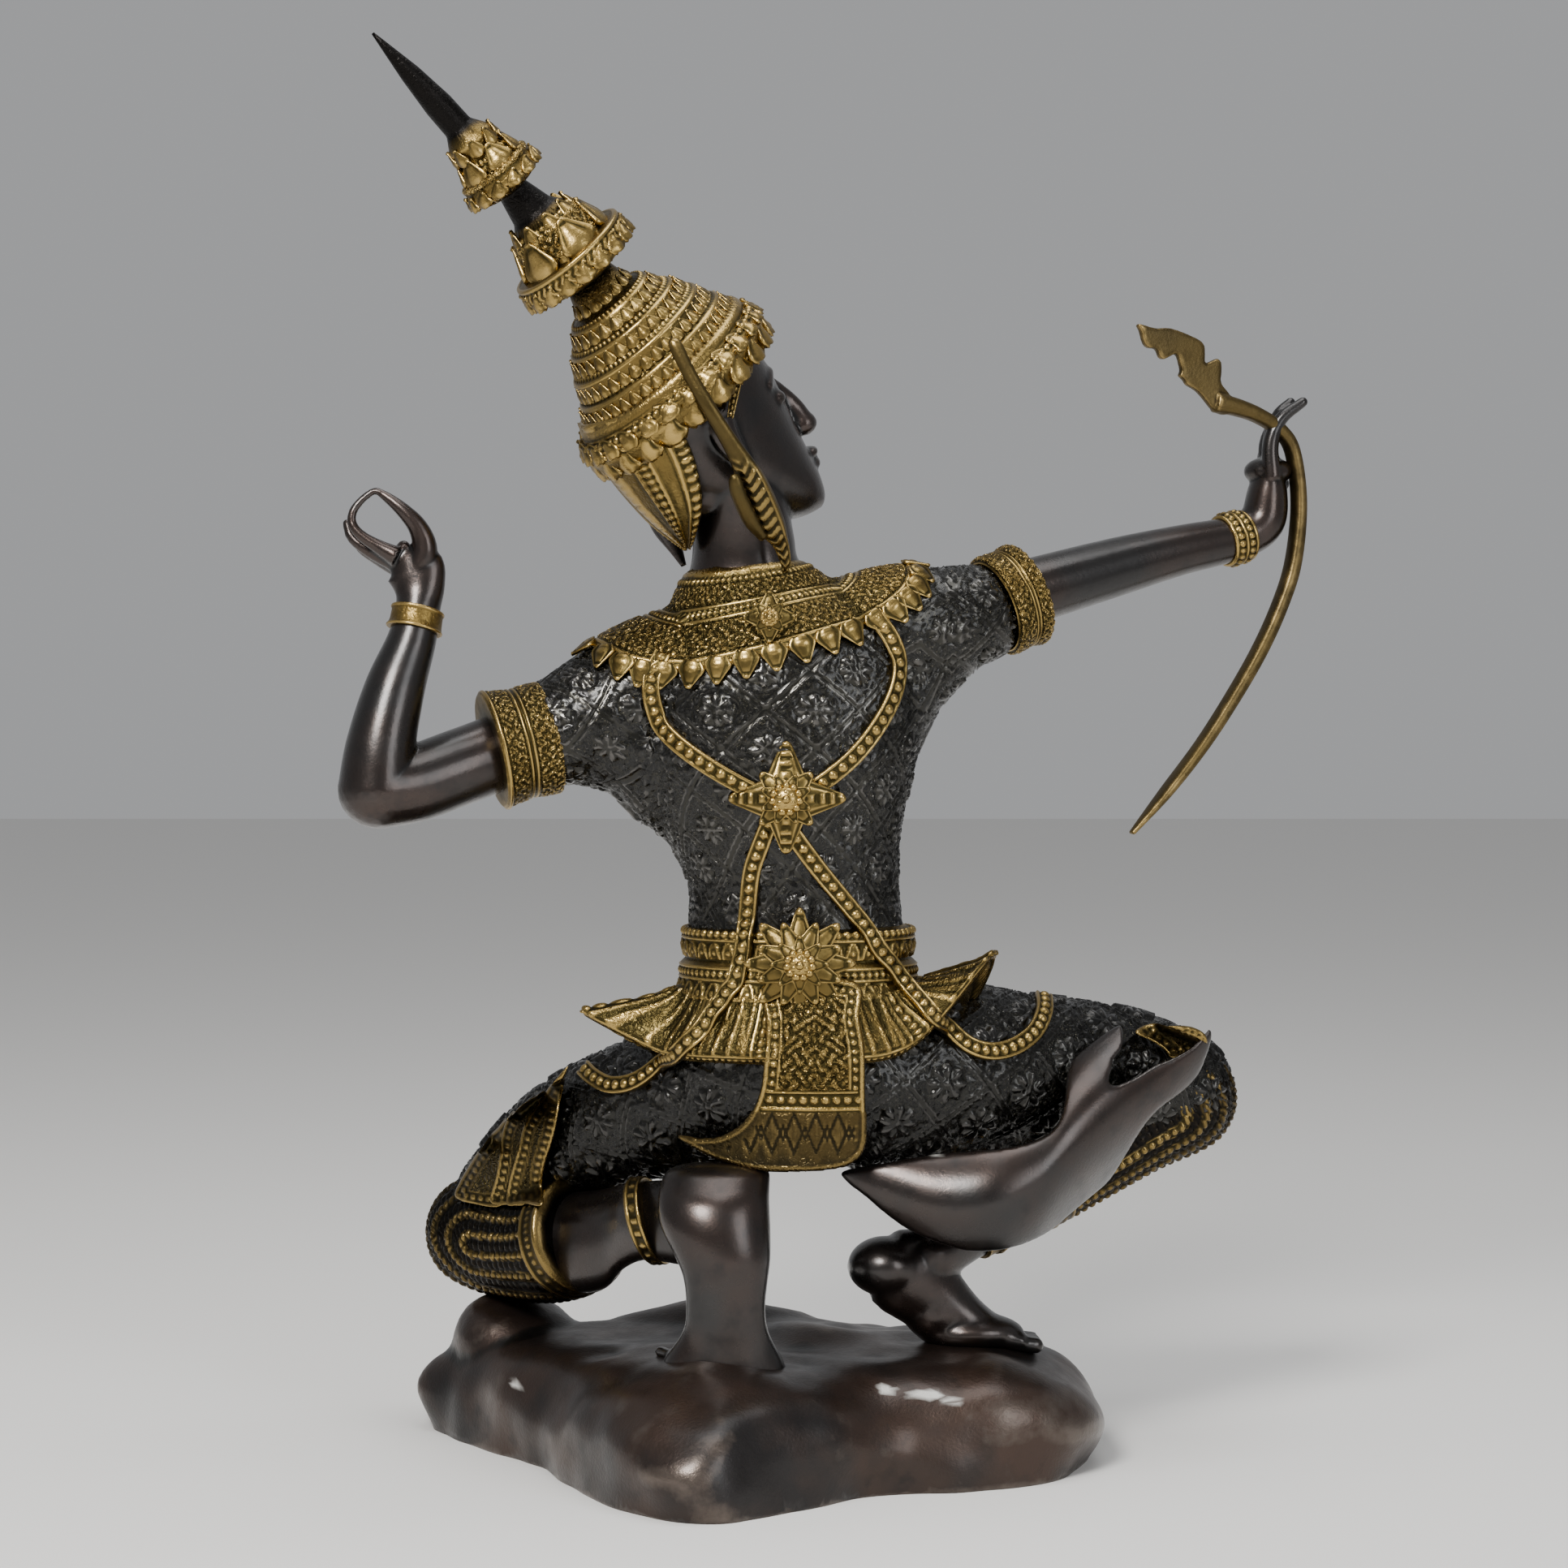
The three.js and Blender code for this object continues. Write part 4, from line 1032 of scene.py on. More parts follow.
TROUSER_DIAMOND, TROUSER_BLOOM, TROUSER_RELIEF = (45, 45), 1.35, 2.5
TROUSER_LAY = [(-1, -38, (-71, 198), 13), (1, 4, (81, 184), -8)]  # side, shift, a flower's place, degrees


def make_trousers():
    """The trousers' smooth form, and the same with its relief."""
    forms = [ball((-18, 0, 196), (64, 50, 50))]
    for rows in THIGHS:
        forms += wax(rows, ends=(False, True))
    plain = fused(forms, 1.4, 10)
    rich = plain.copy()
    co = read(rich, "co", 3)
    shape, small = np.zeros((2, len(co)))
    for rows, (sign, shift, at, turn) in zip(THIGHS, TROUSER_LAY):
        length, middle, radius = along_limb(co, rows)
        u, v = length * sign + shift, 190 + radius * round_from(co, middle)
        one, fine = lattice(u, v, stones, TROUSER_DIAMOND, at, turn, TROUSER_BLOOM)
        here = (co[:, 0] > -18) == (sign > 0)
        shape, small = np.where(here, one, shape), np.where(here, fine, small)
    raise_relief(rich, TROUSER_RELIEF * shape - RELIEF_SINK, shape, 0.55 * small)
    return plain, rich


trousers_form, trousers = make_trousers()
leave_bare("trousers", trousers, shaded_trouser_bronze, 0.58)

# %% [markdown]
# ## Bare skin: head, arms, hands, legs and feet
#
# Skin is one smooth cast surface, so each bare part is built from overlapping tubes and balls of wax,
# melted together and rubbed. The face is calm and plain, on the proportions that drawing books teach,
# and the head leans back under its crown.
# %% Head
HEAD_AT = (-78, -14, 523)
HEAD_TURN, HEAD_LEAN, CROWN_LEAN = [math.radians(a) for a in (25, -26, -17)]
HEAD = Matrix.Translation(HEAD_AT) @ Matrix.Rotation(HEAD_TURN, 4, "Z") @ Matrix.Rotation(HEAD_LEAN, 4, "Y")
CROWN_FRAME = HEAD @ Matrix.Translation((-2, 0, 10)) @ Matrix.Rotation(CROWN_LEAN, 4, "Y")
FACE = [
    (38, -78, 8, 8), (33, -73, 16, 15), (25, -62, 25, 22), (15, -48, 34, 28), (8, -32, 40, 31.5),
    (3, -15, 44.5, 34.5), (0, 4, 45.5, 36.5), (0, 16, 38, 33), (0, 22, 24, 24)]
NOSE = [(42, 0, -6, 3, 3), (46, 0, -12, 3.2, 4), (53, 0, -27, 4.2, 5), (54.5, 0, -38, 7, 6)]
LIPS_AND_CHIN = [
    ((49, 0, -51.5), (6.4, 10, 3.2)), ((48, 0, -57.5), (6.5, 8.2, 3.6)), ((40, 0, -68), (10, 9.5, 8))]
NECK_TOP = [(-57, -9, 500, 24, 24, -18), (-62, -11, 514, 22, 22, -20)]


def make_head():
    """Head, ears and neck."""
    skull = [skin(stacked([(f, 0, up, a, b) for f, up, a, b in FACE]), 90, 60)]
    skull += wax(NOSE, ends=(True, True)) + [ball(*form) for form in LIPS_AND_CHIN]
    for n in (-1, 1):
        brow = [(44.5, n * 4, -10, 2, 2), (43.5, n * 13, -5, 2.2, 2.2), (36, n * 24, -10, 1.8, 1.8)]
        ear = [
            (2, n * 33.5, -8, 6, 3), (-1, n * 35, -20, 7, 3.4), (3, n * 33.5, -36, 4.4, 2.8),
            (5, n * 32, -42, 2.6, 2)]
        skull += [ball((38.6, n * 14, -18), (6, 9.5, 4.6))]
        skull += wax(brow, ends=(True, True)) + wax(ear, (1, 0, 0), ends=(True, True))
    skull.append(ball((-5, 0, -40), (21, 22, 21)))
    for mesh in skull:
        mesh.transform(HEAD)
    return fused(skull + [skin(stacked(TORSO[7:] + NECK_TOP), 60, 50)], 1.2, 8)


def plain_relief(mesh, height=0.0):
    """Marks a smooth mesh as having an even relief."""
    write(mesh, "relief", np.full(len(mesh.vertices), height))
    return mesh


leave_bare("head_and_neck", plain_relief(make_head()))

# %% [markdown]
# The left hand is raised, with its thumb and first finger closed in a ring, and the right hand holds the
# bow upright. Fingers could be sculpted, but each is only a row of shrinking circles along a curve. The
# melting hides where it enters the palm.
# %% Arms and hands
ARM_LEFT = [
    (-163, -20, 355.5, 18), (-167.2, -21, 352, 18.6), (-186, -32, 345, 18.6), (-206, -42, 338, 18.6),
    (-222, -49.5, 335.5, 18.8)]
FOREARM_LEFT = [
    (-223, -50, 335.5, 18.6), (-221, -49, 356, 16.8), (-214.8, -44, 383, 14.6), (-206.8, -38.5, 407, 11.8),
    (-204, -34.8, 423, 10.8), (-203.5, -34, 432, 9, 12.4), (-205.5, -34, 441, 7.5, 14.4),
    (-209, -34, 446, 6.0, 10.5), (-211, -34, 449, 4.2, 6)]
FINGERS_LEFT = [
    [(-205, -35, 438, 6.4), (-200.6, -36, 450, 6.2), (-203.6, -37, 460.6, 4.9), (-210.5, -38, 468.8, 3.7),
     (-218, -37.5, 475, 2.6), (-223.6, -36.6, 478.6, 1.7)],
    [(-214, -38, 447, 5), (-222.5, -38.5, 451.6, 3.5), (-230.7, -39, 456.8, 2.7),
     (-235.2, -38.6, 462.6, 2.3), (-234.8, -38, 468.7, 2.1), (-230.6, -37.4, 474.2, 1.9),
     (-225.6, -36.6, 478.2, 1.7)],
    [(-215, -32.5, 444, 4.6), (-227, -32, 449.5, 3.4), (-236, -31, 456, 2.7), (-238.6, -30, 463, 2.2)],
    [(-214, -27, 441, 4.4), (-224, -26.4, 446, 3.3), (-232.5, -26, 451.5, 2.6), (-235.6, -25, 458, 2.1)]]
ARM_RIGHT = [
    (90, 32.5, 428.5, 16), (93.2, 34, 430, 16.4), (138, 57, 442.5, 14.8), (171, 72, 451, 12.8),
    (195.5, 84, 456, 11.8), (207.4, 90, 459.2, 11.4), (217, 93, 467, 12.6, 11.8),
    (219.5, 94.4, 481, 13.4, 10.4), (220, 95, 492, 12.6, 7.6)]
FINGERS_RIGHT = [
    [(221, 85.5, 488, 4.8), (220, 85.5, 505, 4.2), (225, 85.5, 518, 3.5), (236.5, 86, 527, 2.6)],
    [(222.5, 92.5, 490, 4.6), (220.5, 92, 507, 4), (224.5, 92, 520, 3.5), (231, 92.5, 527, 2.7)],
    [(221, 99, 488, 4.6), (219.5, 98.5, 507, 3.8), (227, 99, 523, 2.8)],
    [(220, 105, 484, 4.2), (219, 104.5, 501, 3.4), (225.5, 104.5, 515, 2.6)],
    [(215, 103, 468, 5.2), (222, 108, 478, 4.6), (229, 107.4, 486, 3.6)]]


def make_limb(parts, fingers):
    """An arm with its fingers, melted into one."""
    forms = []
    for rows in parts:
        forms += wax(rows, ends=(True, True))
    for rows in fingers:
        forms += wax(rows, ends=(False, True))
    return plain_relief(fused(forms, 0.95, 3))


leave_bare("left_arm", make_limb([ARM_LEFT, FOREARM_LEFT], FINGERS_LEFT))
leave_bare("right_arm", make_limb([ARM_RIGHT], FINGERS_RIGHT))

# %% [markdown]
# The left foot stands flat under the seat, and the right foot rests on its toes. Their shins are wax, with
# balls for heel and sole. The toes are alike, so a small loop sets five of them side by side.
# %% Legs and feet
FOOT_LEFT = [
    (-57, -43, 53, 31, 21), (-57.3, -45, 61, 28.5, 18.5), (-56.5, -49, 69, 23.5, 14.5),
    (-56, -52, 77, 20, 12.6), (-56, -53, 88, 19.2, 12.4), (-56, -52, 101, 20.6, 14),
    (-57.5, -50, 111, 23.2, 17), (-61, -46, 125, 26.6, 19.5), (-62, -42, 137, 27, 19),
    (-61, -37, 145.5, 26.4, 16.5), (-60, -35, 150, 25, 14), (-59.5, -33, 153, 18, 9), (-59, -32, 154, 2, 2)]
CALF_LEFT = [
    (-152, 68, 99, 28, 26), (-133, 47, 102, 29, 25.6), (-117, 27, 107.4, 26, 25), (-108, 10, 116, 23, 21.5),
    (-98, -5, 121, 21.4, 19.4), (-88, -17, 123, 20.4, 20), (-76, -29, 124, 19, 21), (-62, -40, 126, 17, 22)]
FOOT_RIGHT = [
    (22, 6, 97, 19, 15), (31, 9, 93, 21.5, 16.5), (43, 13, 82.5, 19, 16), (55, 16, 72.5, 15.5, 16),
    (67, 18, 65.5, 11.5, 17), (79, 20, 61, 8, 18), (90, 21, 59, 6, 18.5)]
TOE_ROWS = [
    ((-47, -30, 61), (-8.6, -2.6, 0), (-8, 17, -1), 5.6), ((84, 8, 58.5), (0.4, 7.2, -0.2), (14, 2, -2), 5)]


def toes(at, step, reach, r):
    """Five toes side by side, from the big one to the small one."""
    out = []
    for k in range(5):
        share = 1 - 0.08 * k
        a = [at[c] + step[c] * k + reach[c] * 0.1 for c in range(3)]
        b = [at[c] + step[c] * k + reach[c] * (0.62 + 0.3 * share) for c in range(3)]
        m = [(p + q) / 2 for p, q in zip(a, b)]
        out.append([(*a, r * share * 0.85), (*m, r * share * 0.8), (*b, r * share * 0.9)])
    return out


def make_leg(n, shin, foot):
    """A shin below its cuff, with its foot."""
    forms = shin + foot
    for rows in toes(*TOE_ROWS[n]):
        forms += wax(rows, ends=(True, True))
    return plain_relief(fused(forms, 1.1, 26))


left_foot = [skin(stacked(FOOT_LEFT), 60, 60)]
right_foot = wax(FOOT_RIGHT, (0, 0, 1), ends=(True, False))
right_foot += [ball((64, 15, 63), (27, 18, 9.5)), ball((46, 12, 73), (15, 15, 14))]
left_shin = [skin(upright(CALF_LEFT), 60, 60), ball((-62, -42, 124), (17, 15, 18))]
right_shin = wax(SHINS[1][4:], ends=(False, True))
leave_bare("left_leg", make_leg(0, left_shin, left_foot))
leave_bare("right_leg", make_leg(1, right_shin, right_foot))

# %% [markdown]
# ## Collar, armlets, bracelets, cuffs and anklets
#
# All of these are rings of sheet gold in the design, worked in rows. Each row is one band: a ridge, a
# row of beads, a row of leaves or a run of curls. A ring is described by naming its bands in order.
# %% Rings along the limbs
EDGE = [("ridge", 2.2, 1.2)]
BEADS = [("beads", 3.6, 1.5)]


def ring(name, rows, bands, along, material=gilt, lean=None, fine=1.0):
    """A worked ring round a limb; lean gives the directions of its two half axes where it isn't square."""
    tube = straight(rows)
    if lean:
        r = stepped_rows(rows, every=0.4)
        tube = Tube(r[:, :3], r[:, 3:4] * np.array(lean[0]), r[:, 4:5] * np.array(lean[1]))
    around = int(tube.girth(0.5) / fine)
    gild(name, banded(tube, around, along, bands), material)


ARMLET = EDGE + [("scrolls", 10, 1.2, 3.6), ("ridge", 1.4, 1), ("plain", 0.8), ("ridge", 1.4, 1),
                 ("scrolls", 8, 1.2, 3.6), ("ridge", 1.6, 1.1), ("plain", 8)]
ring("left_armlet", [(-142.5, -14.6, 359.4, 22, 23), (-142.6, -14.7, 359.3, 25.6, 26.4),
                     (-144, -15, 359, 26, 27), (-156, -18.3, 356.4, 25.4, 26.4),
                     (-165, -20.8, 354.2, 26.2, 27.4), (-169, -21.9, 353.2, 27.8, 29),
                     (-170, -22.2, 353, 27, 28), (-170.1, -22.3, 353, 18, 18)], ARMLET, 84, fine=1.2)
ring("right_armlet", [(76.4, 26.2, 422.8, 22, 22), (76.5, 26.3, 422.9, 24.6, 24.6),
                      (78, 27, 423.5, 25, 25.2), (86, 30.5, 426.8, 24.2, 24.4),
                      (91, 32.8, 428.8, 25.4, 25.8), (92, 33.3, 429.2, 24.8, 25),
                      (92.1, 33.4, 429.3, 15, 15)], ARMLET, 70, fine=1.2)
ring("left_bracelet", [(-206.1, -37.5, 411.2, 11), (-206, -37.4, 411.4, 13.6), (-205.2, -36.3, 414.6, 12.7),
                       (-204.4, -35.3, 419.6, 12.5), (-204.1, -35, 421.6, 13), (-204, -34.9, 421.8, 10.6)],
     [("plain", 2.6), ("ridge", 1.4, 0.4), ("plain", 8), ("ridge", 1.4, 0.4), ("plain", 2.6)], 34,
     smooth_gilt, fine=1.2)
ring("right_bracelet", [(196.4, 84.5, 456.2, 11), (196.5, 84.6, 456.3, 13.2), (206.5, 89.6, 459, 12.8),
                        (207.6, 90.1, 459.3, 11.2)],
     EDGE + BEADS + [("ridge", 1.8, 1)] + BEADS + EDGE, 30, fine=1.0)
ring("left_anklet", [(-98.2, -5, 121, 20, 18), (-98.1, -5.1, 121, 23.4, 21), (-95, -8.4, 121.7, 22.8, 20.6),
                     (-91.2, -12.4, 122.5, 22.6, 20.8), (-91.1, -12.5, 122.5, 18, 17)],
     [("plain", 2.4), ("ridge", 1.6, 0.8), ("beads", 3.4, 1.1, 7), ("ridge", 1.6, 0.8), ("plain", 2.4)], 34,
     gilt, lean=((0.25, 1, 0), (-0.3, 0, 1)), fine=1.3)
ring("right_anklet", [(76, 31.4, 117, 14.6), (75.4, 31, 116.7, 16.6), (66, 26, 112, 15.8),
                      (65.4, 25.6, 111.6, 13.4)], EDGE + BEADS + [("plain", 4)] + EDGE, 30, smooth_gilt,
     fine=1.2)

# %% [markdown]
# Each trouser leg ends in a cover of gilt beads, in rows that run down the shin and turn back round the
# knee, as lanes turn on a running track. A row is therefore a line at one distance from the shin's own
# line, and its beads are counted along it.
# %% Knee covers
ROW_GOLD = (0.62, 0.42, 0.3, 0.22)  # how much gold each row of beads has kept, from the middle out


def knee_cover(name, knee, radius, rows, turn, pitch):
    """The trouser end over a knee and shin: rows of gilt beads that turn back round the knee.

    Turn is the point on the shin's line round which the rows turn back."""
    knee, hem_at = Vector(knee), Vector(rows[-1][:3])
    away = (knee - Vector(rows[0][:3])).normalized()
    start = [(*(knee + away * radius * math.cos(math.radians(a))), radius * math.sin(math.radians(a)) + 0.3)
             for a in (2, 22, 45, 68, 90)]
    tube = jointed(start + rows, (0, 1, 0), 8)
    mesh = skin(tube, 190, int(tube.length / 1.0))
    co, t = read(mesh, "co", 3), read(mesh, "t")
    middle, u, _, _ = tube.ring(t)
    around = round_from(co, middle)
    end = t > 0.9999
    co[end] = middle[end] + (co[end] - middle[end]) * 0.8
    mesh.vertices.foreach_set("co", co.ravel())
    mesh.update()
    along = (1 - t) * tube.length
    rise = around * np.linalg.norm(u, axis=1)
    reach = (co - np.array(turn)) @ np.array((Vector(turn) - hem_at).normalized())
    past = np.clip(reach, 0, None)
    d = np.hypot(rise, past)
    q = np.minimum(reach, 0) + np.arctan2(past, np.abs(rise)) * np.clip(d, 4, None)
    number = np.round((d - 7.5) / pitch)
    off = d - 7.5 - number * pitch
    line = np.abs(off) < 3.2
    lane = 1.9 * dome(np.hypot(repeat(q, 4.6), off), 2.1) + 0.5 + 0.6 * ridge(np.abs(off) - 2.8, 0.5)
    between = 1.3 * ridge(repeat(q, 4.4), 1.9) * ridge(np.abs(off) - pitch / 2, pitch / 2 - 3.4)
    row = np.where(line, lane, between)
    hem = along < 13
    worked = np.maximum(ridge(along - 11.6, 1.2), ridge(along - 1.6, 1.2))
    worked = np.maximum(worked, 0.7 * beads(rise, along - 6.6, 5.2, 1.7))
    height = np.where(hem, 1.2 + 0.9 * worked, row)
    raise_relief(mesh, np.where(end, 0, height), np.where(hem, 0.5 + 0.4 * worked, 0.3 + 0.35 * row))
    gold = np.where(line, np.interp(number, range(4), ROW_GOLD), 0.02)
    # The cuff's end ring is left ungilt, in the dark bare colour, so that it reads as the shin and as painted
    # shade inside the cuff.
    write(mesh, "gilding", np.where(end, 0, np.where(hem, 0.6, gold)))
    gild(name, mesh)
    return tube


left_rows = [(-168, 88, 98.5, 30), (-152, 70, 99.5, 30), (-141, 56.5, 102, 29.4), (-130, 43.6, 107, 28)]
right_rows = [(152, 70, 163, 27), (130, 60, 150, 24.8), (110, 50, 138, 22.4), (94.4, 41.6, 128, 20.4)]
left_cover = knee_cover("left_knee_cover", (-184, 104, 99), 27.6, left_rows, (-165, 83, 99), 13)
right_cover = knee_cover("right_knee_cover", (173, 79, 173), 28.8, right_rows, (157, 72, 164), 11)

# %% [markdown]
# The collar is a wide band of worked gold that lies on the shoulders. A loose ring would float over them,
# so each of its points goes to the nearest point of the coat and is lifted by the sheet's thickness.
# %% Collar
COLLAR = [
    (-39, 0, 401, 60, 35, 14, 10), (-39, 0, 404, 64, 37.5, 14, 10), (-40, 0, 411, 77.6, 47.4, 14, 8),
    (-43, 0, 425, 54.6, 38.4, 13, 4), (-46.5, 0, 438, 28, 27, 7, 0), (-46.6, 0, 440, 24, 24, 6, 0)]
COLLAR_BANDS = [
    ("plain", 3), ("plain", 9, 0.3), ("beads", 3.2, 1.4), ("ridge", 2, 1.1), ("scrolls", 15, 1.5, 4.2),
    ("ridge", 1.8, 1.1), ("beads", 3, 1.4), ("ridge", 1.8, 1.1), ("scrolls", 9, 1.2, 3.6),
    ("beads", 2.6, 1.2), ("plain", 3)]
on_back, coat_tree = seen_from_behind([coat_form, trousers_form])
collar_tube = stacked(COLLAR, 8)


def on_coat(points, lift):
    """Points moved on to the coat, with a lift in millimetres above it."""
    out = []
    for point, up in zip(points, lift):
        at, normal, _, _ = coat_tree.find_nearest(Vector(point))
        out.append(at + normal * up)
    return np.array(out)


class CollarShape:
    """The collar, lying on the shoulders and closed at its rim and neck."""

    girth = staticmethod(collar_tube.girth)

    def place(self, s, t):
        rise = 2.0 * np.clip((t - 0.22) * 30, -0.4, 1)
        return on_coat(collar_tube.place(s, t), rise)


collar = banded(CollarShape(), 380, 80, COLLAR_BANDS)
print("the collar's rim is", round(collar_tube.girth(0.2)), "mm round")

# %% [markdown]
# ## Belt and flared skirt
#
# The belt is two rows of beads with leaves between, and holds the panels and the skirt. It is a ring like
# the others, but it keeps a copy of its form, because straps and a rosette are laid on it later.
# %% Belt
BELT = [
    (232, 60, 45.5), (240, 58, 43), (249, 57.6, 42.2), (251, 55.2, 40.2), (257, 56.8, 41), (265, 56.4, 40.6),
    (267, 52, 37)]
BELT_BANDS = [
    ("leaves", 9, 1.4, 9), ("ridge", 1.8, 1.1), ("beads", 3.6, 1.5), ("ridge", 1.8, 1.1), ("plain", 4, 0.2),
    ("leaves", 8, 1.4, 8), ("ridge", 1.8, 1.1), ("beads", 4, 1.6), ("plain", 3)]
belt_form = banded(stacked([(-21, 1, *row) for row in BELT], rub=1), 340, 60, BELT_BANDS)
gild("belt", belt_form.copy())

# %% [markdown]
# Below the belt a short pleated skirt flares out, and its corners turn up like the eaves of a roof. A
# cloth simulation wouldn't give that, because it is stiff metal. So the corners are four soft pushes on
# the rings of one tube, and the pleats are ridges.
# %% Skirt
SKIRT_RINGS = [
    (206, 58, 44, 0, 0), (203.5, 68, 49, 0.2, 0.4), (207, 77, 56, 1, 1), (214, 74, 55, 0.84, 0.8),
    (226, 65, 50, 0.28, 0.4), (240, 57.5, 44, 0, 0)]
SKIRT_TIPS = [(-15, 20, 46, 23), (26, 16, 30, 14), (154, 14, 12, 12), (195, 32, 18, 9)]


class SkirtShape:
    """The flared skirt, with its four upturned corners."""

    def place(self, s, t):
        z, a, b, reach_share, lift_share = along_rows(smooth_rows(SKIRT_RINGS), t)
        angle = 2 * math.pi * s
        reach, lift = 0 * s, 0 * s
        for turn, out, up, wide in SKIRT_TIPS:
            off = np.arctan2(np.sin(angle - math.radians(turn)), np.cos(angle - math.radians(turn)))
            near = np.exp(-(off / math.radians(wide)) ** 2)
            reach = reach + out * near * reach_share
            lift = lift + up * near * lift_share
        x = -20 + (a + reach) * np.cos(angle)
        y = 2 + (b + reach * 0.6) * np.sin(angle)
        return np.column_stack([x, y, z + lift])


SKIRT_BANDS = [
    ("plain", 12), ("ridge", 2, 1.3), ("beads", 3.2, 1.4), ("ridge", 1.8, 1.1), ("plain", 2),
    ("leaves", 20, 1.3, 17), ("ridge", 1.8, 1.1), ("plain", 3)]
SKIRT_ROUND, STRAPS_ROUND = 440, 12  # millimetres round its middle, and the hanging straps in it
skirt = skin(SkirtShape(), 420, 66)
s, t = read(skirt, "s"), read(skirt, "t")
height, tone, small = strip(s, t, SKIRT_BANDS, lambda _: SKIRT_ROUND)
width = SKIRT_ROUND / STRAPS_ROUND
from_strap = repeat(s * SKIRT_ROUND, width)
strap = (np.abs(from_strap) < 4.6) & (t > 0.42) & (t < 0.9)
worked = np.maximum(ridge(np.abs(from_strap) - 3.8, 1.0), beads(t * 46, from_strap, 4.2, 1.9))
ribs = (t > 0.42) & (t < 0.93) & ~strap
line = ridge(repeat(s * SKIRT_ROUND, width / 5), 1.3)
height = np.where(strap, 1.5 * worked, np.where(ribs, height * 0.4 + 0.55 * line, height))
tone = np.where(strap, 0.3 + 0.7 * worked, np.where(ribs, 0.45 + 0.4 * line, tone))
raise_relief(skirt, height, tone, np.where(ribs, 0.18, small))
skirt_form = skirt.copy()
gild("skirt", skirt)

# %% [markdown]
# ## Crown
#
# The crown is a dome of leaf rows with gold bands between, then rising tiers with flared lips and a bare
# spire. Metal like this is spun on a lathe, so its profile is turned round one leaning axis here too. A
# Screw modifier could turn it, but the tube also gives the bands a length to be counted along.
# %% Crown
CROWN = [
    (-11, 44, -1, 0.84), (-13, 48, -1, 0.84), (-10.5, 53.4, -1, 0.86), (-3.5, 56, 0, 0.87),
    (3, 54.6, 0.5, 0.87), (5.4, 51, 1, 0.88), (8, 51.2, 1.5, 0.88), (11, 50, 1.5, 0.88),
    (11.4, 46.5, 2, 0.88), (18, 44, 2.4, 0.9), (21, 40, 2.4, 0.92), (29, 38, 2, 0.96), (32, 34, 2, 0.97),
    (39, 31, 2, 1), (42, 26.5, 2, 1), (50, 22, 2.4, 1), (53, 16, 2.4, 1), (68, 11.4, 3, 1)]
TIERS = [
    (64, 11.4, 3), (68.5, 25, 3), (74, 31, 3), (82, 29.5, 3), (82.5, 22.5, 3), (98, 18, 3), (107, 11, 2.6),
    (121, 7.6, 2), (125, 17, 1.8), (129, 20, 1.8), (135, 18, 1.8), (135.5, 14.4, 1.8), (147, 10.6, 1.6),
    (152, 12.4, 1.6), (160, 7.2, 1.2), (174, 7, 0.8), (194, 4.9, 0), (219.4, 0.7, -1.4)]
DOME_ROW = [("beads", 2.6, 1.2), ("plain", 6), ("ridge", 3.6, 0.5)]
DOME_BANDS = [
    ("plain", 9, 0.2), ("plain", 13, 0.6), ("ridge", 1.6, 0.6), ("beads", 4, 1.6), ("ridge", 1.6, 0.8),
    ("plain", 5, 0.2), *DOME_ROW * 4, ("beads", 2.4, 1), ("plain", 19)]
TIER_BANDS = [
    ("plain", 14), ("ridge", 3, 1.2), ("beads", 3, 1.3), ("chevrons", 6, 1.3, 4), ("ridge", 3, 1.2),
    ("plain", 7), ("scrolls", 15, 1.6, 4.4), ("beads", 3, 1.2), ("plain", 18), ("plain", 5), ("ridge", 2, 1),
    ("chevrons", 4, 1.2, 3.4), ("beads", 2.6, 1.1), ("ridge", 2, 1), ("plain", 4), ("scrolls", 10, 1.3, 3.6),
    ("beads", 2.4, 1), ("plain", 10), ("plain", 64)]


def turned(rows):
    """A tube on the crown's axis, from rows of height, radius, forward shift and sideways share."""
    full = [(shift, 0, z, r, r * (share[0] if share else 1)) for z, r, shift, *share in rows]
    return stacked(full, rub=1)


def make_crown(rows, around, along, bands, gilt_parts):
    """A part of the crown, with gold only where its height lies in one of the gilt parts."""
    tube = turned(rows)
    mesh = banded(tube, around, along, bands)
    height = tube.ring(read(mesh, "t"))[0][:, 2]
    gold = np.zeros(len(height))
    for low, high in gilt_parts:
        gold = np.maximum(gold, np.clip(np.minimum(height - low, high - height) / 1.0, 0, 1))
    write(mesh, "gilding", gold)
    mesh.transform(CROWN_FRAME)
    print("a profile of", round(tube.length), "mm for bands of", round(sum(band[1] for band in bands)))
    return mesh


gild("crown_dome", make_crown(CROWN, 360, 110, DOME_BANDS, [(-30, 57)]))
gild("crown_tiers", make_crown(TIERS, 170, 230, TIER_BANDS, [(66, 104), (122.5, 157)]))

# %% [markdown]
# ## Back panel
#
# A panel of worked sheet hangs over the seat: curls above, a beaded bar, and cut zigzags below, with one
# lower corner drawn out. A tube can't have such a corner, so it is a sheet cut along its outline, worked
# while it is flat and bent to the body last, as the smith would do it.
# %% Back panel
BACK_OUTLINE = [
    (5.9, 243), (8.2, 225.3), (10.6, 211.3), (11, 190.1), (11.4, 168.6), (9.5, 160.3), (2.4, 154.4),
    (-9.3, 152.1), (-26, 151.3), (-42.4, 151.7), (-61.2, 155.6), (-72.5, 160.7), (-79.5, 165.2),
    (-68.6, 164.8), (-58.8, 166.4), (-49.5, 172.2), (-43.6, 179.6), (-39.3, 190.9), (-37.7, 204.2),
    (-36.6, 223), (-35.8, 243)]
BACK_DEPTH = [(150, -44), (165, -46), (185, -49), (205, -54), (225, -53), (243, -46)]
BACK_MIDDLE, BAR_TOP, BAR_FOOT = -13.5, 191.5, 180.5


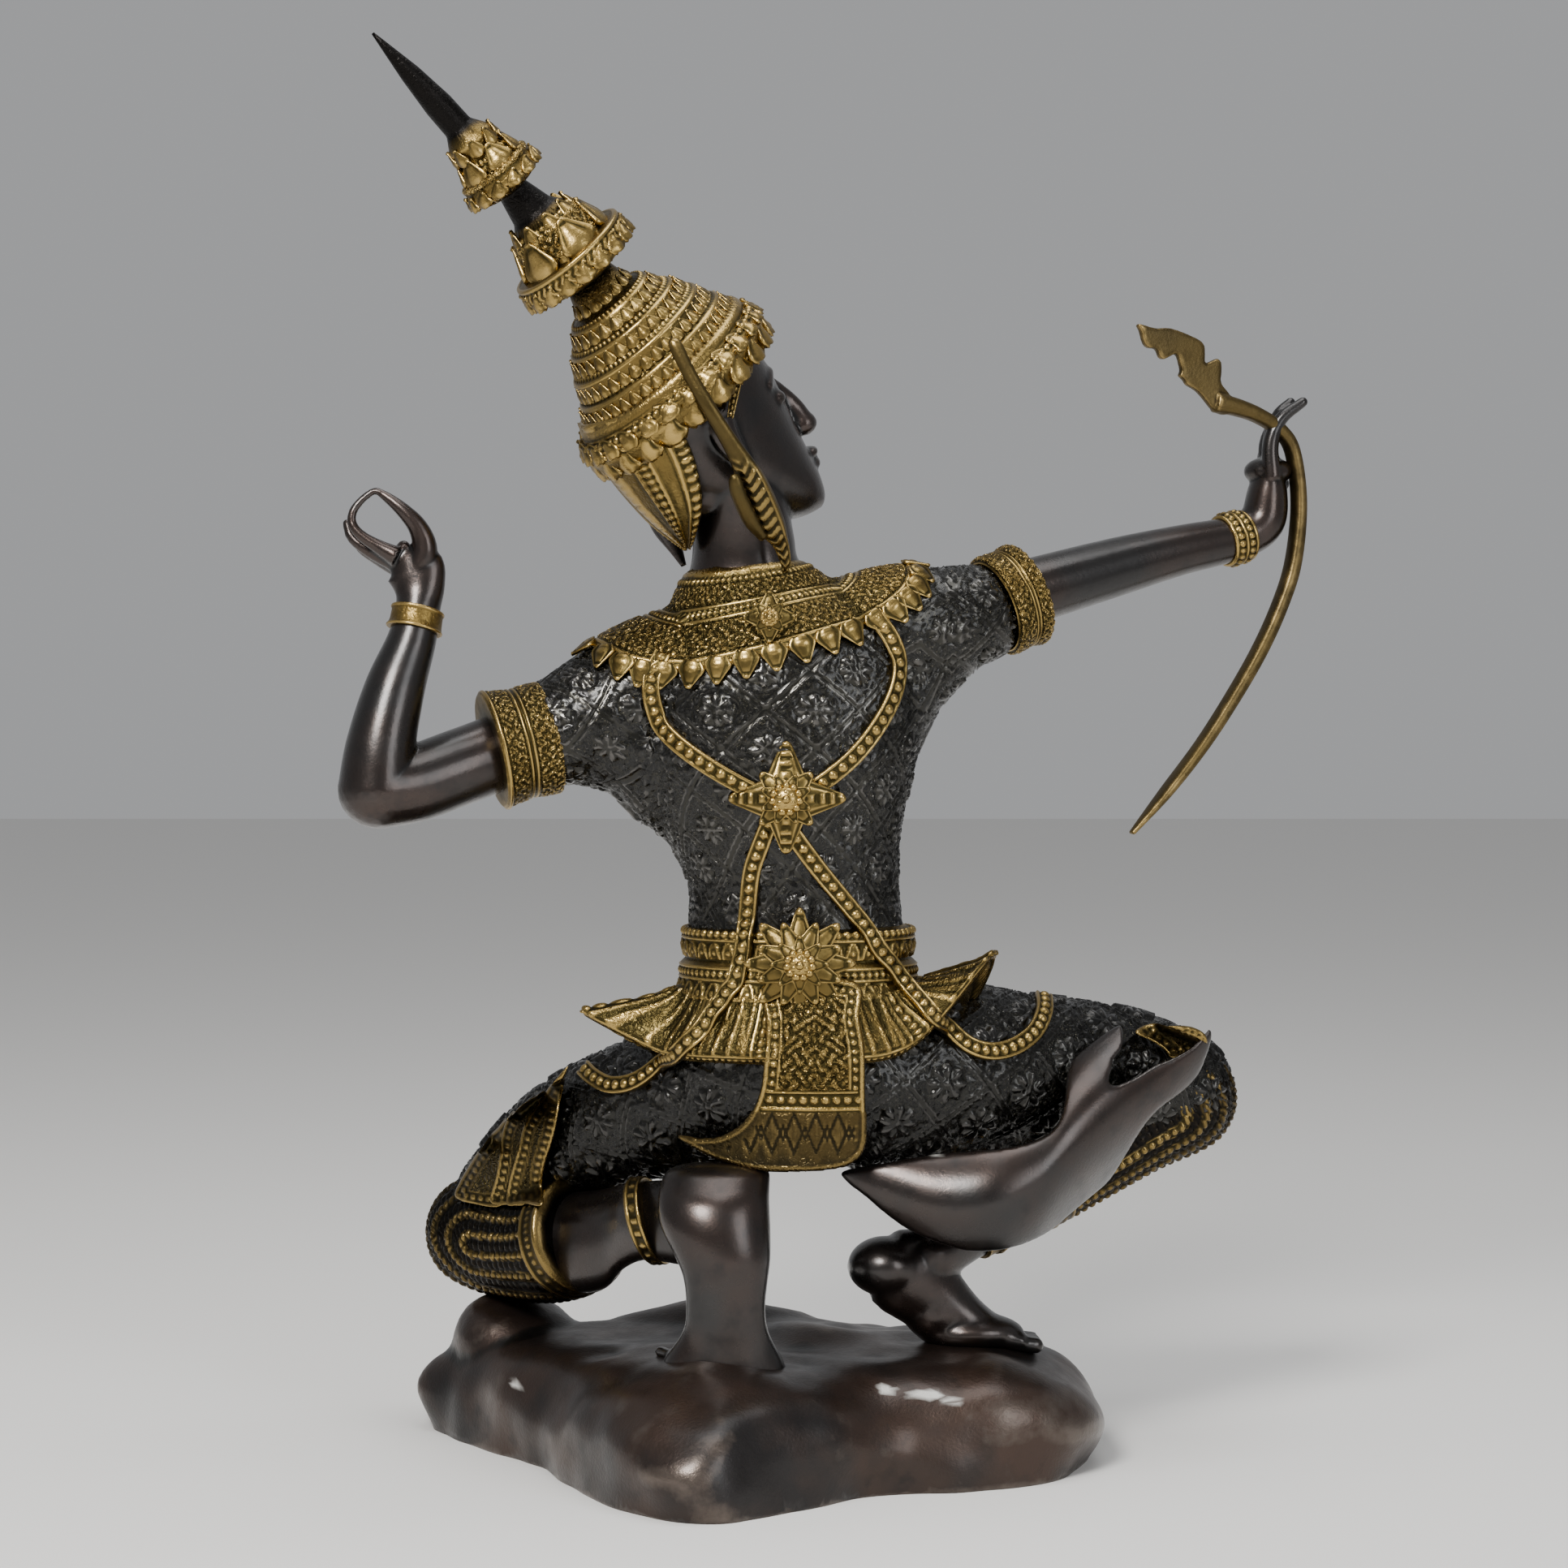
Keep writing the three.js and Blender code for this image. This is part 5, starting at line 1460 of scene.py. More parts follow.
def make_back_panel():
    """The panel over the seat, with a curled lower corner: curls above, cut zigzags below."""
    mesh, ring = cut_sheet(BACK_OUTLINE, 4.0, 0.85, 3)
    co = read(mesh, "co", 3)
    x, z = co[:, 0], co[:, 2]
    near, along = from_edge(co, ring)
    front = np.clip(-co[:, 1] - 0.6, 0, 1)
    rim = np.maximum(ridge(near - 1.6, 1.3), ridge(near - 7.4, 0.9))
    rim = np.maximum(rim, beads(along, near - 4.6, 4.6, 1.7) * (z > 166))
    flame = scrolls(np.abs(x - BACK_MIDDLE) + 0.25 * z, z, 6.4)
    upper = np.where(near > 8.6, 0.25 + 0.75 * flame, rim)
    cross = np.maximum(ridge(np.abs(z - 186) - 4.2, 0.8), beads(x, z - 186, 5.4, 2.2))
    point = np.abs(repeat(x + 2, 10.6)) * 2.5
    cuts = ridge(np.minimum(np.abs(z - 167 - point * 0.95), np.abs(z - 173 + point * 0.95)) * 0.42, 0.75)
    pearls = beads(along, near - 4.6, 7.5, 1.7) * (x > 0)
    lower = np.maximum.reduce([0.55 - 0.6 * cuts * (near > 5.5), rim * (near < 3), 0.8 * pearls])
    shape = np.where(z > BAR_TOP, upper, np.where(z > BAR_FOOT, np.where(near < 3, rim, cross), lower))
    raise_relief(mesh, 1.5 * shape * front, 0.4 + (0.25 + 0.75 * shape - 0.4) * front,
                 np.where((z > BAR_TOP) & (near > 8), 0.8, 0.1) * front)
    write(mesh, "gilding", np.where(z > BAR_FOOT, 1.0, 0.4))
    heights, depths = zip(*BACK_DEPTH)
    return bent(mesh, lambda x, z: np.interp(z, heights, depths) + 0.006 * (x + 13) ** 2)


back_panel_form = make_back_panel()
gild("back_panel", back_panel_form.copy())

# %% [markdown]
# ## Front panel
#
# The panel in front can't be seen in the photograph, so it is a plain one of the same kind: a very flat
# tube, whose width lies along one direction, with borders along its edges.
# %% Front panel
FRONT_PANEL = [
    (-17, 44, 232, 15), (-16, 52, 212, 18), (-15, 51, 188, 20), (-13, 44, 168, 20), (-10, 30, 158, 18)]
PANEL_BANDS = [
    ("ridge", 1.5, 1), ("beads", 3.4, 1.3), ("ridge", 1.5, 1), ("scrolls", 26, 1.7, 5.2), ("ridge", 1.5, 1),
    ("beads", 3.4, 1.3), ("ridge", 1.5, 1)]
HEM_BANDS = [
    ("plain", 40), ("ridge", 1.4, 1), ("beads", 5, 1.5), ("ridge", 1.4, 1), ("plain", 2),
    ("chevrons", 5, 0.7, 4), ("plain", 1), ("chevrons", 5, 0.7, 4), ("plain", 1), ("chevrons", 5, 0.7, 4),
    ("ridge", 1.4, 1), ("plain", 0.8), ("ridge", 1.6, 1), ("plain", 1.4)]


def flat_tube(rows, thick, side):
    """A flat tube, from rows of x, y, z and half width."""
    return jointed([(x, y, z, half, thick / 2) for x, y, z, half in rows], side, 8, 0.7)


def panel(tube, side):
    """A hanging panel: scrolls between beaded borders above, rows of zigzags below."""
    mesh = skin(tube, 170, 120)
    s, t = read(mesh, "s"), read(mesh, "t")
    across, out = np.sin(2 * math.pi * s), np.cos(2 * math.pi * s) * side
    across = (np.sign(across) * np.abs(across) ** tube.square + 1) / 2
    upper, upper_tone, _ = strip(t, across, PANEL_BANDS, lambda _: tube.length)
    lower, lower_tone, _ = strip(across, t, HEM_BANDS, lambda _: 44)
    rim = ridge(np.minimum(across, 1 - across) * 44 - 1.5, 1.3)
    low = t > 0.55
    front = np.clip(out * 6, 0, 1)
    height = np.where(low, np.maximum(lower, rim), upper)
    tone = np.where(low, np.maximum(lower_tone, 0.9 * rim), upper_tone)
    raise_relief(mesh, height * front, 0.5 + (tone - 0.5) * front)
    return mesh


gild("front_panel", panel(flat_tube(FRONT_PANEL, 7, (1, 0, 0)), -1), share=0.4)

# %% [markdown]
# ## Sash
#
# The sash's end swings out under the right thigh and forks in two points. It is cut from sheet by its
# outline as seen from behind. Its middle then bulges towards the viewer, like a sail.
# %% Sash
SASH_OUTLINE = [
    (139.4, 215), (133.7, 212.7), (123.8, 206.4), (115.6, 200.2), (111.4, 192.5), (109.8, 183.6),
    (107.5, 174.8), (103.4, 168.4), (97.2, 164.4), (88.8, 161.6), (79, 159.8), (66.7, 158.6), (44.5, 156.4),
    (22.2, 152.6), (0.9, 148.2), (2.7, 142.8), (11.2, 136.4), (22.3, 127.1), (33.4, 119.7), (48.9, 113.4),
    (62.3, 109.7), (75.7, 109.6), (89.3, 111.7), (103.1, 116.5), (112.3, 122.6), (124.1, 130.6),
    (131.1, 135.4), (135.9, 140.9), (140.6, 149.5), (146.6, 160.3), (152.7, 168.9), (159.9, 175.1),
    (172, 182.3), (179.2, 189.8), (182.3, 197.7), (185, 206.9), (184.5, 212.7), (181.1, 209.9),
    (174.3, 203.9), (164.6, 199.3), (155, 196.1), (145.3, 191.2), (136.2, 188.1), (132.4, 188.4),
    (131.6, 191.7), (133.3, 195.5), (133.8, 199.1), (139, 205.1), (140.2, 210.9)]
SASH_DEPTH = [
    (0, -8, 146), (24, -15, 138), (48, -21, 132), (72, -23, 134), (94, -17, 143), (114, -7, 160),
    (138, 9, 178), (160, 25, 192), (185, 40, 214)]
SASH_CHIPS = [(46, 158, 3.6, 2.4), (38, 160, 2.2, 1.6)]


def sash_depth(x, z):
    """How deep the sash lies, with its middle bulging towards the viewer."""
    at, depth, line = smooth_rows(SASH_DEPTH, 12).T
    far = (z - np.interp(x, at, line)) / 30
    return np.interp(x, at, depth) + 3 - 17 * (1 - far ** 2)


sash, _ = cut_sheet(SASH_OUTLINE, 3.8, 1.2, 6)
sash = plain_relief(bent(sash, sash_depth))
chalk(sash, SASH_CHIPS)
leave_bare("sash_end", sash, share=0.4)

# %% [markdown]
# ## Leaves that stand up
#
# Pointed leaves stand up round the crown's front, above each knee and on the rosettes. One leaf is a
# flat tube whose width swells and runs out to a point, with nested ridges that follow its outline.
# %% One leaf
def leaf(long, wide, thick, curl=0.0, around=24, along=18):
    """A pointed leaf that stands up along z, faces -y and may curl sideways at its tip."""
    rows = []
    for t in np.linspace(0, 1, 9):
        swell = 0.55 + 0.45 * math.sin(min(t / 0.32, 1) * math.pi / 2)
        half = swell * (1 - max(t - 0.3, 0) / 0.7) ** 0.9 + 0.01
        rows.append((curl * t ** 2.5, 0, long * t, half * wide / 2, thick / 2 * (1 - 0.75 * t) + 0.15))
    mesh = skin(jointed(rows, (1, 0, 0), 6), around, along)
    s, t = read(mesh, "s"), read(mesh, "t")
    across, out = np.abs(np.sin(2 * math.pi * s)), np.cos(2 * math.pi * s)
    inner = np.minimum(1 - across, (1 - t) * 1.5)
    if wide < 16 or along < 24:
        seed = dome(np.hypot(across, (t - 0.3) * 2.6), 0.34)
        shape = np.maximum(ridge(inner - 0.12, 0.13), 0.55 * np.clip((inner - 0.3) / 0.12, 0, 1) + 0.5 * seed)
    else:
        shape = np.maximum.reduce([ridge(inner - k, 0.11) * (1 - 0.2 * k) for k in (0.11, 0.36, 0.61, 0.9)])
    face = np.clip(-out * 5, 0, 1)
    raise_relief(mesh, shape * face * min(1.4, wide * 0.08), 0.2 + 0.44 * shape)
    return mesh


# %% [markdown]
# One leaf serves for a whole row of them: it is copied to each place. An array or instances could do
# that too, but each leaf here leans its own way, and one mesh is easier to wear.
# %% Places for leaves
def stamped(mesh, places):
    """Copies of a mesh at many places, as one mesh."""
    copies = []
    for place in places:
        copy = mesh.copy()
        copy.transform(place)
        copies.append(copy)
    return joined(copies)


def facing(at, out, up):
    """A place at a point: -y looks along out and z along up."""
    y = -Vector(out).normalized()
    z = (Vector(up) - y * Vector(up).dot(y)).normalized()
    x = y.cross(z)
    turn = Matrix((x, y, z)).transposed().to_4x4()
    return Matrix.Translation(at) @ turn


print("a leaf that faces the viewer is turned by", facing((0, 0, 0), (0, -1, 0), (0, 0, 1)).to_euler()[:])

# %% [markdown]
# Flat plates in the shape of leaves overlap above each knee. They are cut from sheet and beaded along
# their rims. Each is bent to the leg below it, and lifted a little more than the one before.
# %% Knee leaves
KNEE_LEAVES = [
    (5.0, 60, [(-164.7, 168.4), (-173.8, 157.7), (-180, 151.1), (-186.2, 142), (-190.3, 135.3),
               (-194.5, 127.9), (-197, 120.4), (-187.1, 118.3), (-170.6, 120), (-166.4, 133.7),
               (-164.7, 146.1), (-163.9, 158.5)]),
    (7.0, 60, [(-149, 180.8), (-157.2, 176.7), (-163.8, 169.3), (-168.8, 162.6), (-171.3, 154.4),
               (-172.2, 144.4), (-174.2, 133.7), (-177.2, 120.8), (-166.5, 121.2), (-157.4, 123.7),
               (-154, 137.8), (-152.4, 154.4), (-149, 170.1)]),
    (9.0, 60, [(-134.1, 197.4), (-137, 189.1), (-139.5, 176.7), (-141.6, 164.3), (-144.1, 154.4),
               (-147.4, 144.4), (-149.5, 132.8), (-148.3, 124.6), (-158.2, 123.3), (-168.1, 121.2),
               (-167.2, 132), (-164.7, 141.1), (-161.8, 151.1), (-159.3, 161), (-155.2, 169.3),
               (-147.3, 180), (-140.7, 189.9)]),
    (8.0, 4, [(147.2, 210.6), (158.7, 214.7), (173.1, 214.7), (182.2, 209.3), (180.2, 199.8), (167, 196.9),
              (162, 201.5), (155.4, 206)])]
on_leg, _ = seen_from_behind([trousers_form, skin(left_cover, 60, 60), skin(right_cover, 60, 60)])


def laid_plate(outline, lift, fall):
    """A gilt plate cut along an outline and laid on the leg; fall is how far it follows the leg away."""
    mesh, ring = cut_sheet(outline, 2.6, 0.9, 3)
    co = read(mesh, "co", 3)
    near, along = from_edge(co, ring)
    front = np.clip(-co[:, 1] - 0.4, 0, 1)
    shape = np.maximum.reduce([ridge(near - 1.1, 0.9), beads(along, near - 3.6, 4.2, 1.7),
                               0.4 * ridge(near - 6.2, 0.8)])
    raise_relief(mesh, 1.3 * shape * front, 0.42 + 0.5 * shape * front, 0.45 * (near > 6.5) * front)
    write(mesh, "gilding", np.full(len(co), 0.72))
    spots = np.array([on_leg(x, z)[0].y for x, z in co[:, [0, 2]]])
    spots = np.minimum(spots, np.percentile(spots, 35) + fall)
    bed = smooth_over(mesh, np.minimum(spots, smooth_over(mesh, spots, 14)), 6)
    return bent(mesh, lambda x, z: bed - lift)


plates = [laid_plate(outline, lift, fall) for lift, fall, outline in KNEE_LEAVES]
gild("knee_leaves", joined(plates))

# %% [markdown]
# The collar's rim is a row of leaf points. They hang over the coat, so each leans as the coat does where
# it hangs, and it starts a little under the rim.
# %% Collar leaves
POINTS = 34
hanging = []
for k in range(POINTS):
    here = (k + 0.5) / POINTS
    rim, inner, beside = collar_tube.place(np.array([here, here, here + 0.01]), np.array([0.27, 0.36, 0.27]))
    tip = rim + 12 * unit(rim - inner) + np.array([0, 0, -4])
    rim, tip, beside = [Vector(v) for v in on_coat([rim, tip, beside], [2.6, 2.2, 2.6])]
    out = (tip - rim).cross(beside - rim).normalized()
    nearest = coat_tree.find_nearest(rim)[1]
    if out.dot(nearest) < 0:
        out = -out
    down = (tip - rim).normalized()
    hanging.append(facing(rim - down * 2.0, out, down))
points = stamped(leaf(13.5, 14, 2.8), hanging)
gild("collar", joined([collar, points]))

# %% [markdown]
# A ring of leaves stands round every tier of the crown, and its rim has two rows that lean across each
# other. Height, number, size and lean differ from ring to ring, and all the rest is one function.
# %% Leaves of the crown
def leaf_ring(radius, height, count, long, wide, lean, shift, share=1.0, curl=0.0, thick=3.0):
    """A ring of leaves round the crown's axis; lean tips them out or in."""
    places = []
    for k in range(count):
        a = 2 * math.pi * (k + 0.5) / count
        out = Vector((math.cos(a), math.sin(a) * share, 0))
        spot = out * radius + Vector((shift, 0, height))
        places.append(CROWN_FRAME @ facing(spot, out - Vector((0, 0, lean)), out * lean + Vector((0, 0, 1))))
    return stamped(leaf(long, wide, thick, curl, 16, 12), places)


rings = [
    leaf_ring(53.2, -13, 22, 13, 16, 0.1, 0, 0.87, 6.0, 5.4),
    leaf_ring(55.6, -3, 26, 10, 13.4, -0.34, 0.4, 0.87, -5.0, 4.6),
    leaf_ring(46, 10.6, 42, 7.6, 7, -0.22, 2, 0.89, 0.0, 2.6),
    leaf_ring(39.8, 20.6, 36, 7.6, 7, -0.22, 2.2, 0.94, 0.0, 2.6),
    leaf_ring(33.8, 31.6, 30, 7.6, 7, -0.26, 2, 0.98, 0.0, 2.6),
    leaf_ring(26, 41.6, 23, 7.6, 7.2, -0.36, 2.2, thick=2.6),
    leaf_ring(16, 52.4, 15, 7, 6.4, -0.3, 2.6, thick=2.6),
    leaf_ring(30, 70, 18, 9, 11.6, 0.0, 3, curl=4.0, thick=5),
    leaf_ring(23, 80, 6, 20, 21, -0.24, 3, thick=5), leaf_ring(21.8, 80, 14, 12, 9, -0.2, 3, thick=4),
    leaf_ring(17.8, 93, 9, 13, 11, -0.22, 3, thick=4),
    leaf_ring(19.4, 125, 13, 7, 9.4, 0.0, 1.8, curl=3.0, thick=4.4),
    leaf_ring(14.8, 134, 6, 14, 14, -0.2, 1.8, thick=4.4),
    leaf_ring(11.6, 145, 8, 9.5, 8, 0.05, 1.6, thick=3.6)]
gild("crown_leaves", joined(rings))

# %% [markdown]
# A pointed plate covers the nape, with rows of beads down its length. It is a flat tube too, but its rings
# are rolled round the back of the head, so its shape gives the places of its own points.
# %% Nape flap
NAPE_RINGS = [(-49, 10, 46), (-48, -8, 48), (-44, -26, 44), (-37, -46, 32), (-30, -60, 14), (-27.5, -66, 1.5)]


class NapeShape:
    """A pointed plate that curves round the back of the head."""

    square = 0.7
    length = 75

    def place(self, s, t):
        back, up, half = along_rows(smooth_rows(NAPE_RINGS), t)
        across, out = np.sin(2 * math.pi * s), np.cos(2 * math.pi * s)
        turn = np.sign(across) * np.abs(across) ** self.square * half / 36
        reach = 36 + 1.9 * out
        return np.column_stack([back + 36 - reach * np.cos(turn), reach * np.sin(turn), up])


NAPE_EDGE, NAPE_MIDDLE = ("beads", 3.4, 1.5), ("beads", 3, 1.3)
NAPE_HALF = [
    NAPE_EDGE, ("ridge", 1.4, 1), ("plain", 4), ("ridge", 1.2, 1), NAPE_MIDDLE, ("ridge", 1.2, 1),
    ("plain", 5), ("ridge", 1.2, 1)]
NAPE_BANDS = NAPE_HALF + [NAPE_MIDDLE] + NAPE_HALF[::-1]
nape = ribbon(NapeShape(), 150, 90, NAPE_BANDS)
nape.transform(HEAD)
gild("nape_flap", nape)

# %% [markdown]
# Before each ear hangs a curved ornament that swells towards its foot, and a hook lies beside the near
# one. Each is a ribbon along a few points in space, and the upper part of the near one is plain.
# %% Ear ornaments
EAR_NEAR = [
    (-80.6, -64, 549.2, 1), (-79.6, -64.5, 547, 3.2), (-72.9, -65, 533.3, 3.3), (-62.6, -65, 515.3, 3.6),
    (-52.6, -60, 499.2, 4.4), (-43.5, -54, 484, 6.4), (-38, -47, 471, 7.4), (-33.4, -41, 461, 6.6),
    (-29.2, -36, 453, 3.8), (-27.2, -32, 445, 2.4), (-27.4, -30, 440, 1)]
EAR_FAR = [
    (-104, 20, 549, 2.4), (-95, 28, 500, 6), (-91.6, 28, 478, 7), (-88.5, 28, 464, 6), (-82, 27, 452, 3.6),
    (-77.6, 25, 443, 1.4)]
EAR_HOOK = [
    (-52.4, -62, 485.4, 1.2), (-51.4, -61, 483, 3), (-49.4, -58, 475.8, 3.8), (-44, -50, 464.3, 4),
    (-38, -43, 456, 2.6)]
TEMPLE = [(-47.6, -45, 543, 2.6), (-51, -48, 528, 2.4), (-53.6, -50, 513, 1.4)]
ROD_BANDS = [("plain", 8)]
DROP_BANDS = [("ridge", 1.2, 0.6), ("chevrons", 9, 0.9, 5.4), ("ridge", 1.2, 0.6)]
TEMPLE_BANDS = [("ridge", 1.2, 0.7), ("beads", 3, 1), ("ridge", 1.2, 0.7)]
ears = []
for rows, bands, flat, below in ((EAR_NEAR, DROP_BANDS, 0.75, 494), (EAR_HOOK, ROD_BANDS, 0.8, 0),
                                 (TEMPLE, TEMPLE_BANDS, 0.5, 1e9)):
    drop = jointed([(x, y, z, r, r * flat) for x, y, z, r in rows], (1, 0, -0.4), 8)
    ears.append(ribbon(drop, 40, 100, bands, below=below))
near_ear = joined(ears)
write(near_ear, "gilding", np.full(len(near_ear.vertices), 0.6))
gild("near_ear_ornament", near_ear)
drop = jointed([(x, y, z, r, r * 0.6) for x, y, z, r in EAR_FAR], (1, 0, -0.4), 8)
# The far ornament takes the dark skin finish where the near one is gilt: painted shade on the far side of the
# head.
put("far_ear_ornament", ribbon(drop, 40, 80, ROD_BANDS), skin_bronze)

# %% [markdown]
# ## Straps and rosettes on the back
#
# Two beaded straps cross the back, held by a rosette at each meeting. They lie on the coat, so each
# point of a strap is found by looking straight at the back and stopping where the coat is.
# %% Straps
STRAPS = [
    [(-86, 400), (-92.5, 385), (-87, 366), (-66, 348), (-34, 330)],
    [(15, 419), (25.5, 403), (24, 380), (6, 352), (-22, 330)]]
LOWER_STRAPS = [
    [(-34, 322), (-40, 306), (-43.4, 293.5), (-45.4, 270), (-49.5, 247), (-61, 227.4), (-80, 206),
     (-97, 190.6), (-111, 185.6), (-121, 187.6), (-127, 190.6)],
    [(-24, 314), (-9.3, 293.3), (9.5, 269), (28.3, 242), (46, 223), (60.8, 209), (76.7, 205.4), (92, 211),
     (99.5, 220), (101.4, 227)]]
STRAP_BANDS = [("ridge", 1.9, 1.1), ("beads", 5.0, 1.9, 6.0), ("ridge", 1.9, 1.1)]


def laid(points, half, thick, find, steps=12):
    """A flat tube laid along points on a surface."""
    spots = [find(x, z) for x, z in smooth_rows(points, steps)]
    at = np.array([p for p, _ in spots])
    out = np.array([n for _, n in spots])
    for _ in range(6):
        at[1:-1] = (at[:-2] + 2 * at[1:-1] + at[2:]) / 4
        out[1:-1] = (out[:-2] + 2 * out[1:-1] + out[2:]) / 4
    at[:, 1] = np.minimum(at[:, 1], np.array([p.y for p, _ in spots]) + 1.0)
    for _ in range(3):
        at[1:-1] = (at[:-2] + 2 * at[1:-1] + at[2:]) / 4
    out = unit(out)
    ahead = unit(np.gradient(at, axis=0))
    across = unit(np.cross(ahead, out))
    return Tube(at + out * 0.9, across * half, out * thick / 2, square=0.6)


on_dress, _ = seen_from_behind([coat_form, trousers_form, belt_form, skirt_form, collar, back_panel_form])
for group, lines, find in (("strap", STRAPS, on_back), ("lower_strap", LOWER_STRAPS, on_dress)):
    for n, points in enumerate(lines):
        tube = laid(points, 4.3, 4.4, find)
        mesh = ribbon(tube, 40, int(tube.length / 1.1), STRAP_BANDS)
        gild(f"{group}_{n + 1}", mesh)

# %% [markdown]
# A rosette is rounds of leaves about a heap of beads. It covers the place where straps meet, so it has to
# sit on them. The depth of whatever lies under it is probed first, and each leaf's tip is laid on what is
# below that tip.
# %% Rosettes
PROBES = [(dx, dz) for dx in (-9, 0, 9) for dz in (-9, 0, 9)]


def nearest_front(x, z):
    """The depth of what lies nearest to the viewer round a place on the back."""
    return min(on_dress(x + dx, z + dz)[0].y for dx, dz in PROBES)


def petals(x, z, lift, leaves):
    """Leaves round a point on the back, laid on what is under them: angle in degrees, length, width."""
    middle = Vector((x, nearest_front(x, z) - lift, z))
    meshes = []
    for turn, long, wide in leaves:
        a = math.radians(turn)
        tip = on_dress(x + long * math.sin(a), z + long * math.cos(a))[0]
        tip.y = min(tip.y - 2.6, middle.y + 3.0)
        up = tip - middle
        one = leaf(up.length, wide, wide * 0.42, around=40, along=30)
        one.transform(facing(middle, Vector((0, -1, 0)) + up.normalized() * 0.15, up))
        meshes.append(one)
    return joined(meshes)


def star(count, long, wide, turn=0.0):
    """Equal leaves all round."""
    return [(360 * k / count + turn, long, wide) for k in range(count)]


def bead_cluster(x, z, y, radius, size):
    """A heap of beads in rings round a point."""
    forms = [ball((x, y - size * 1.2, z), (size, size, size)), ball((x, y + 1.5, z), (radius, 4, radius))]
    for ring_number, count in ((1, 6), (2, 11)):
        reach = radius * ring_number / 2
        for k in range(count):
            a = 2 * math.pi * k / count
            spot = (x + reach * math.sin(a), y + (ring_number - 1) * size * 0.6, z + reach * math.cos(a))
            forms.append(ball(spot, (size, size, size)))
    mesh = joined(forms)
    write(mesh, "relief", np.ones(len(mesh.vertices)))
    return mesh


ROSETTES = [
    ("collar_rosette", -35, 418, 1.6, 3.2, [star(4, 12.5, 11), star(4, 8.5, 7.5, 45), star(4, 6, 6)]),
    ("back_rosette", -27, 331, 2.1, 6.4, [[(0, 28, 20), (90, 29, 19), (180, 27, 19), (270, 28, 19)],
                                          star(4, 17.5, 13, 45), star(8, 12.5, 8.5, 22)]),
    ("belt_rosette", -20.5, 252, 2.2, 6.0, [star(8, 27, 15.5), star(8, 21.5, 13, 22.5), star(8, 14, 9)])]
for name, x, z, bead, mound, rounds in ROSETTES:
    y = nearest_front(x, z)
    layers = [petals(x, z, lift, leaves) for lift, leaves in zip((3.6, 6.2, 8.6), rounds)]
    gild(name, joined(layers + [bead_cluster(x, z, y - 10, mound, bead)]), share=0.45)

# %% [markdown]
# ## Bow
#
# The bow is a flat bar that curves from the raised hand down behind the elbow and ends above in a flame
# with a hooked tip. It lies in one plane, so it is drawn there and turned into place.
# %% Bow
BOW_LINE = [
    (190, 526, 6.5), (201, 524, 5.8), (213, 520, 5), (224.5, 513, 4.6), (232, 502, 4.2), (235.6, 476, 4.3),
    (232.8, 446, 4.8), (225.8, 424, 4.8), (215, 401, 4.8), (201, 377.5, 4.6), (184, 352.5, 4.2),
    (165, 329, 3.4), (147, 308.5, 1.6)]
BOW_FLAME = [
    (149, 564.5), (158, 562.5), (165.5, 562.8), (175, 560), (183, 556), (184.3, 550), (184, 545.5),
    (187.2, 546.6), (191.6, 548.2), (193.2, 543.4), (192.8, 536), (198, 529), (196, 520), (189, 522),
    (185, 526.5), (180, 531.6), (174.5, 534.6), (173.6, 536.6), (170.7, 539.2), (171.8, 541.4),
    (170.2, 547.8), (168.8, 550), (162.8, 547), (160.2, 548.2), (158.6, 552), (154, 552.6), (151.6, 556),
    (150.4, 560.6)]
BOW_TURN = math.radians(25)
BOW_PLACE = Matrix.Translation((239, 95, 0)) @ Matrix.Rotation(BOW_TURN, 4, "Z")


def bow_x(x):
    """A place along the bow's own plane for a place across the model."""
    return (x - 239) / math.cos(BOW_TURN)


def make_bow():
    """The bar and the flame, melted together."""
    rows = [(bow_x(x), 0, z, 5.2 * min(1, half / 3.4), half * 0.78) for x, z, half in BOW_LINE]
    bar = skin(jointed(rows, (0, 1, 0), 8, 0.7), 36, 220)
    plate, _ = cut_sheet([(bow_x(x), z) for x, z in BOW_FLAME], 4.6, 0.8, 1, 4)
    mesh = fused([bar, plate], 0.9, 3)
    mesh.transform(BOW_PLACE)
    return plain_relief(mesh, 0.4)


put("curved_bow", make_bow(), bow_brass, node="bow", share=0.4)
print("triangles in all:", sum(triangles.values()))
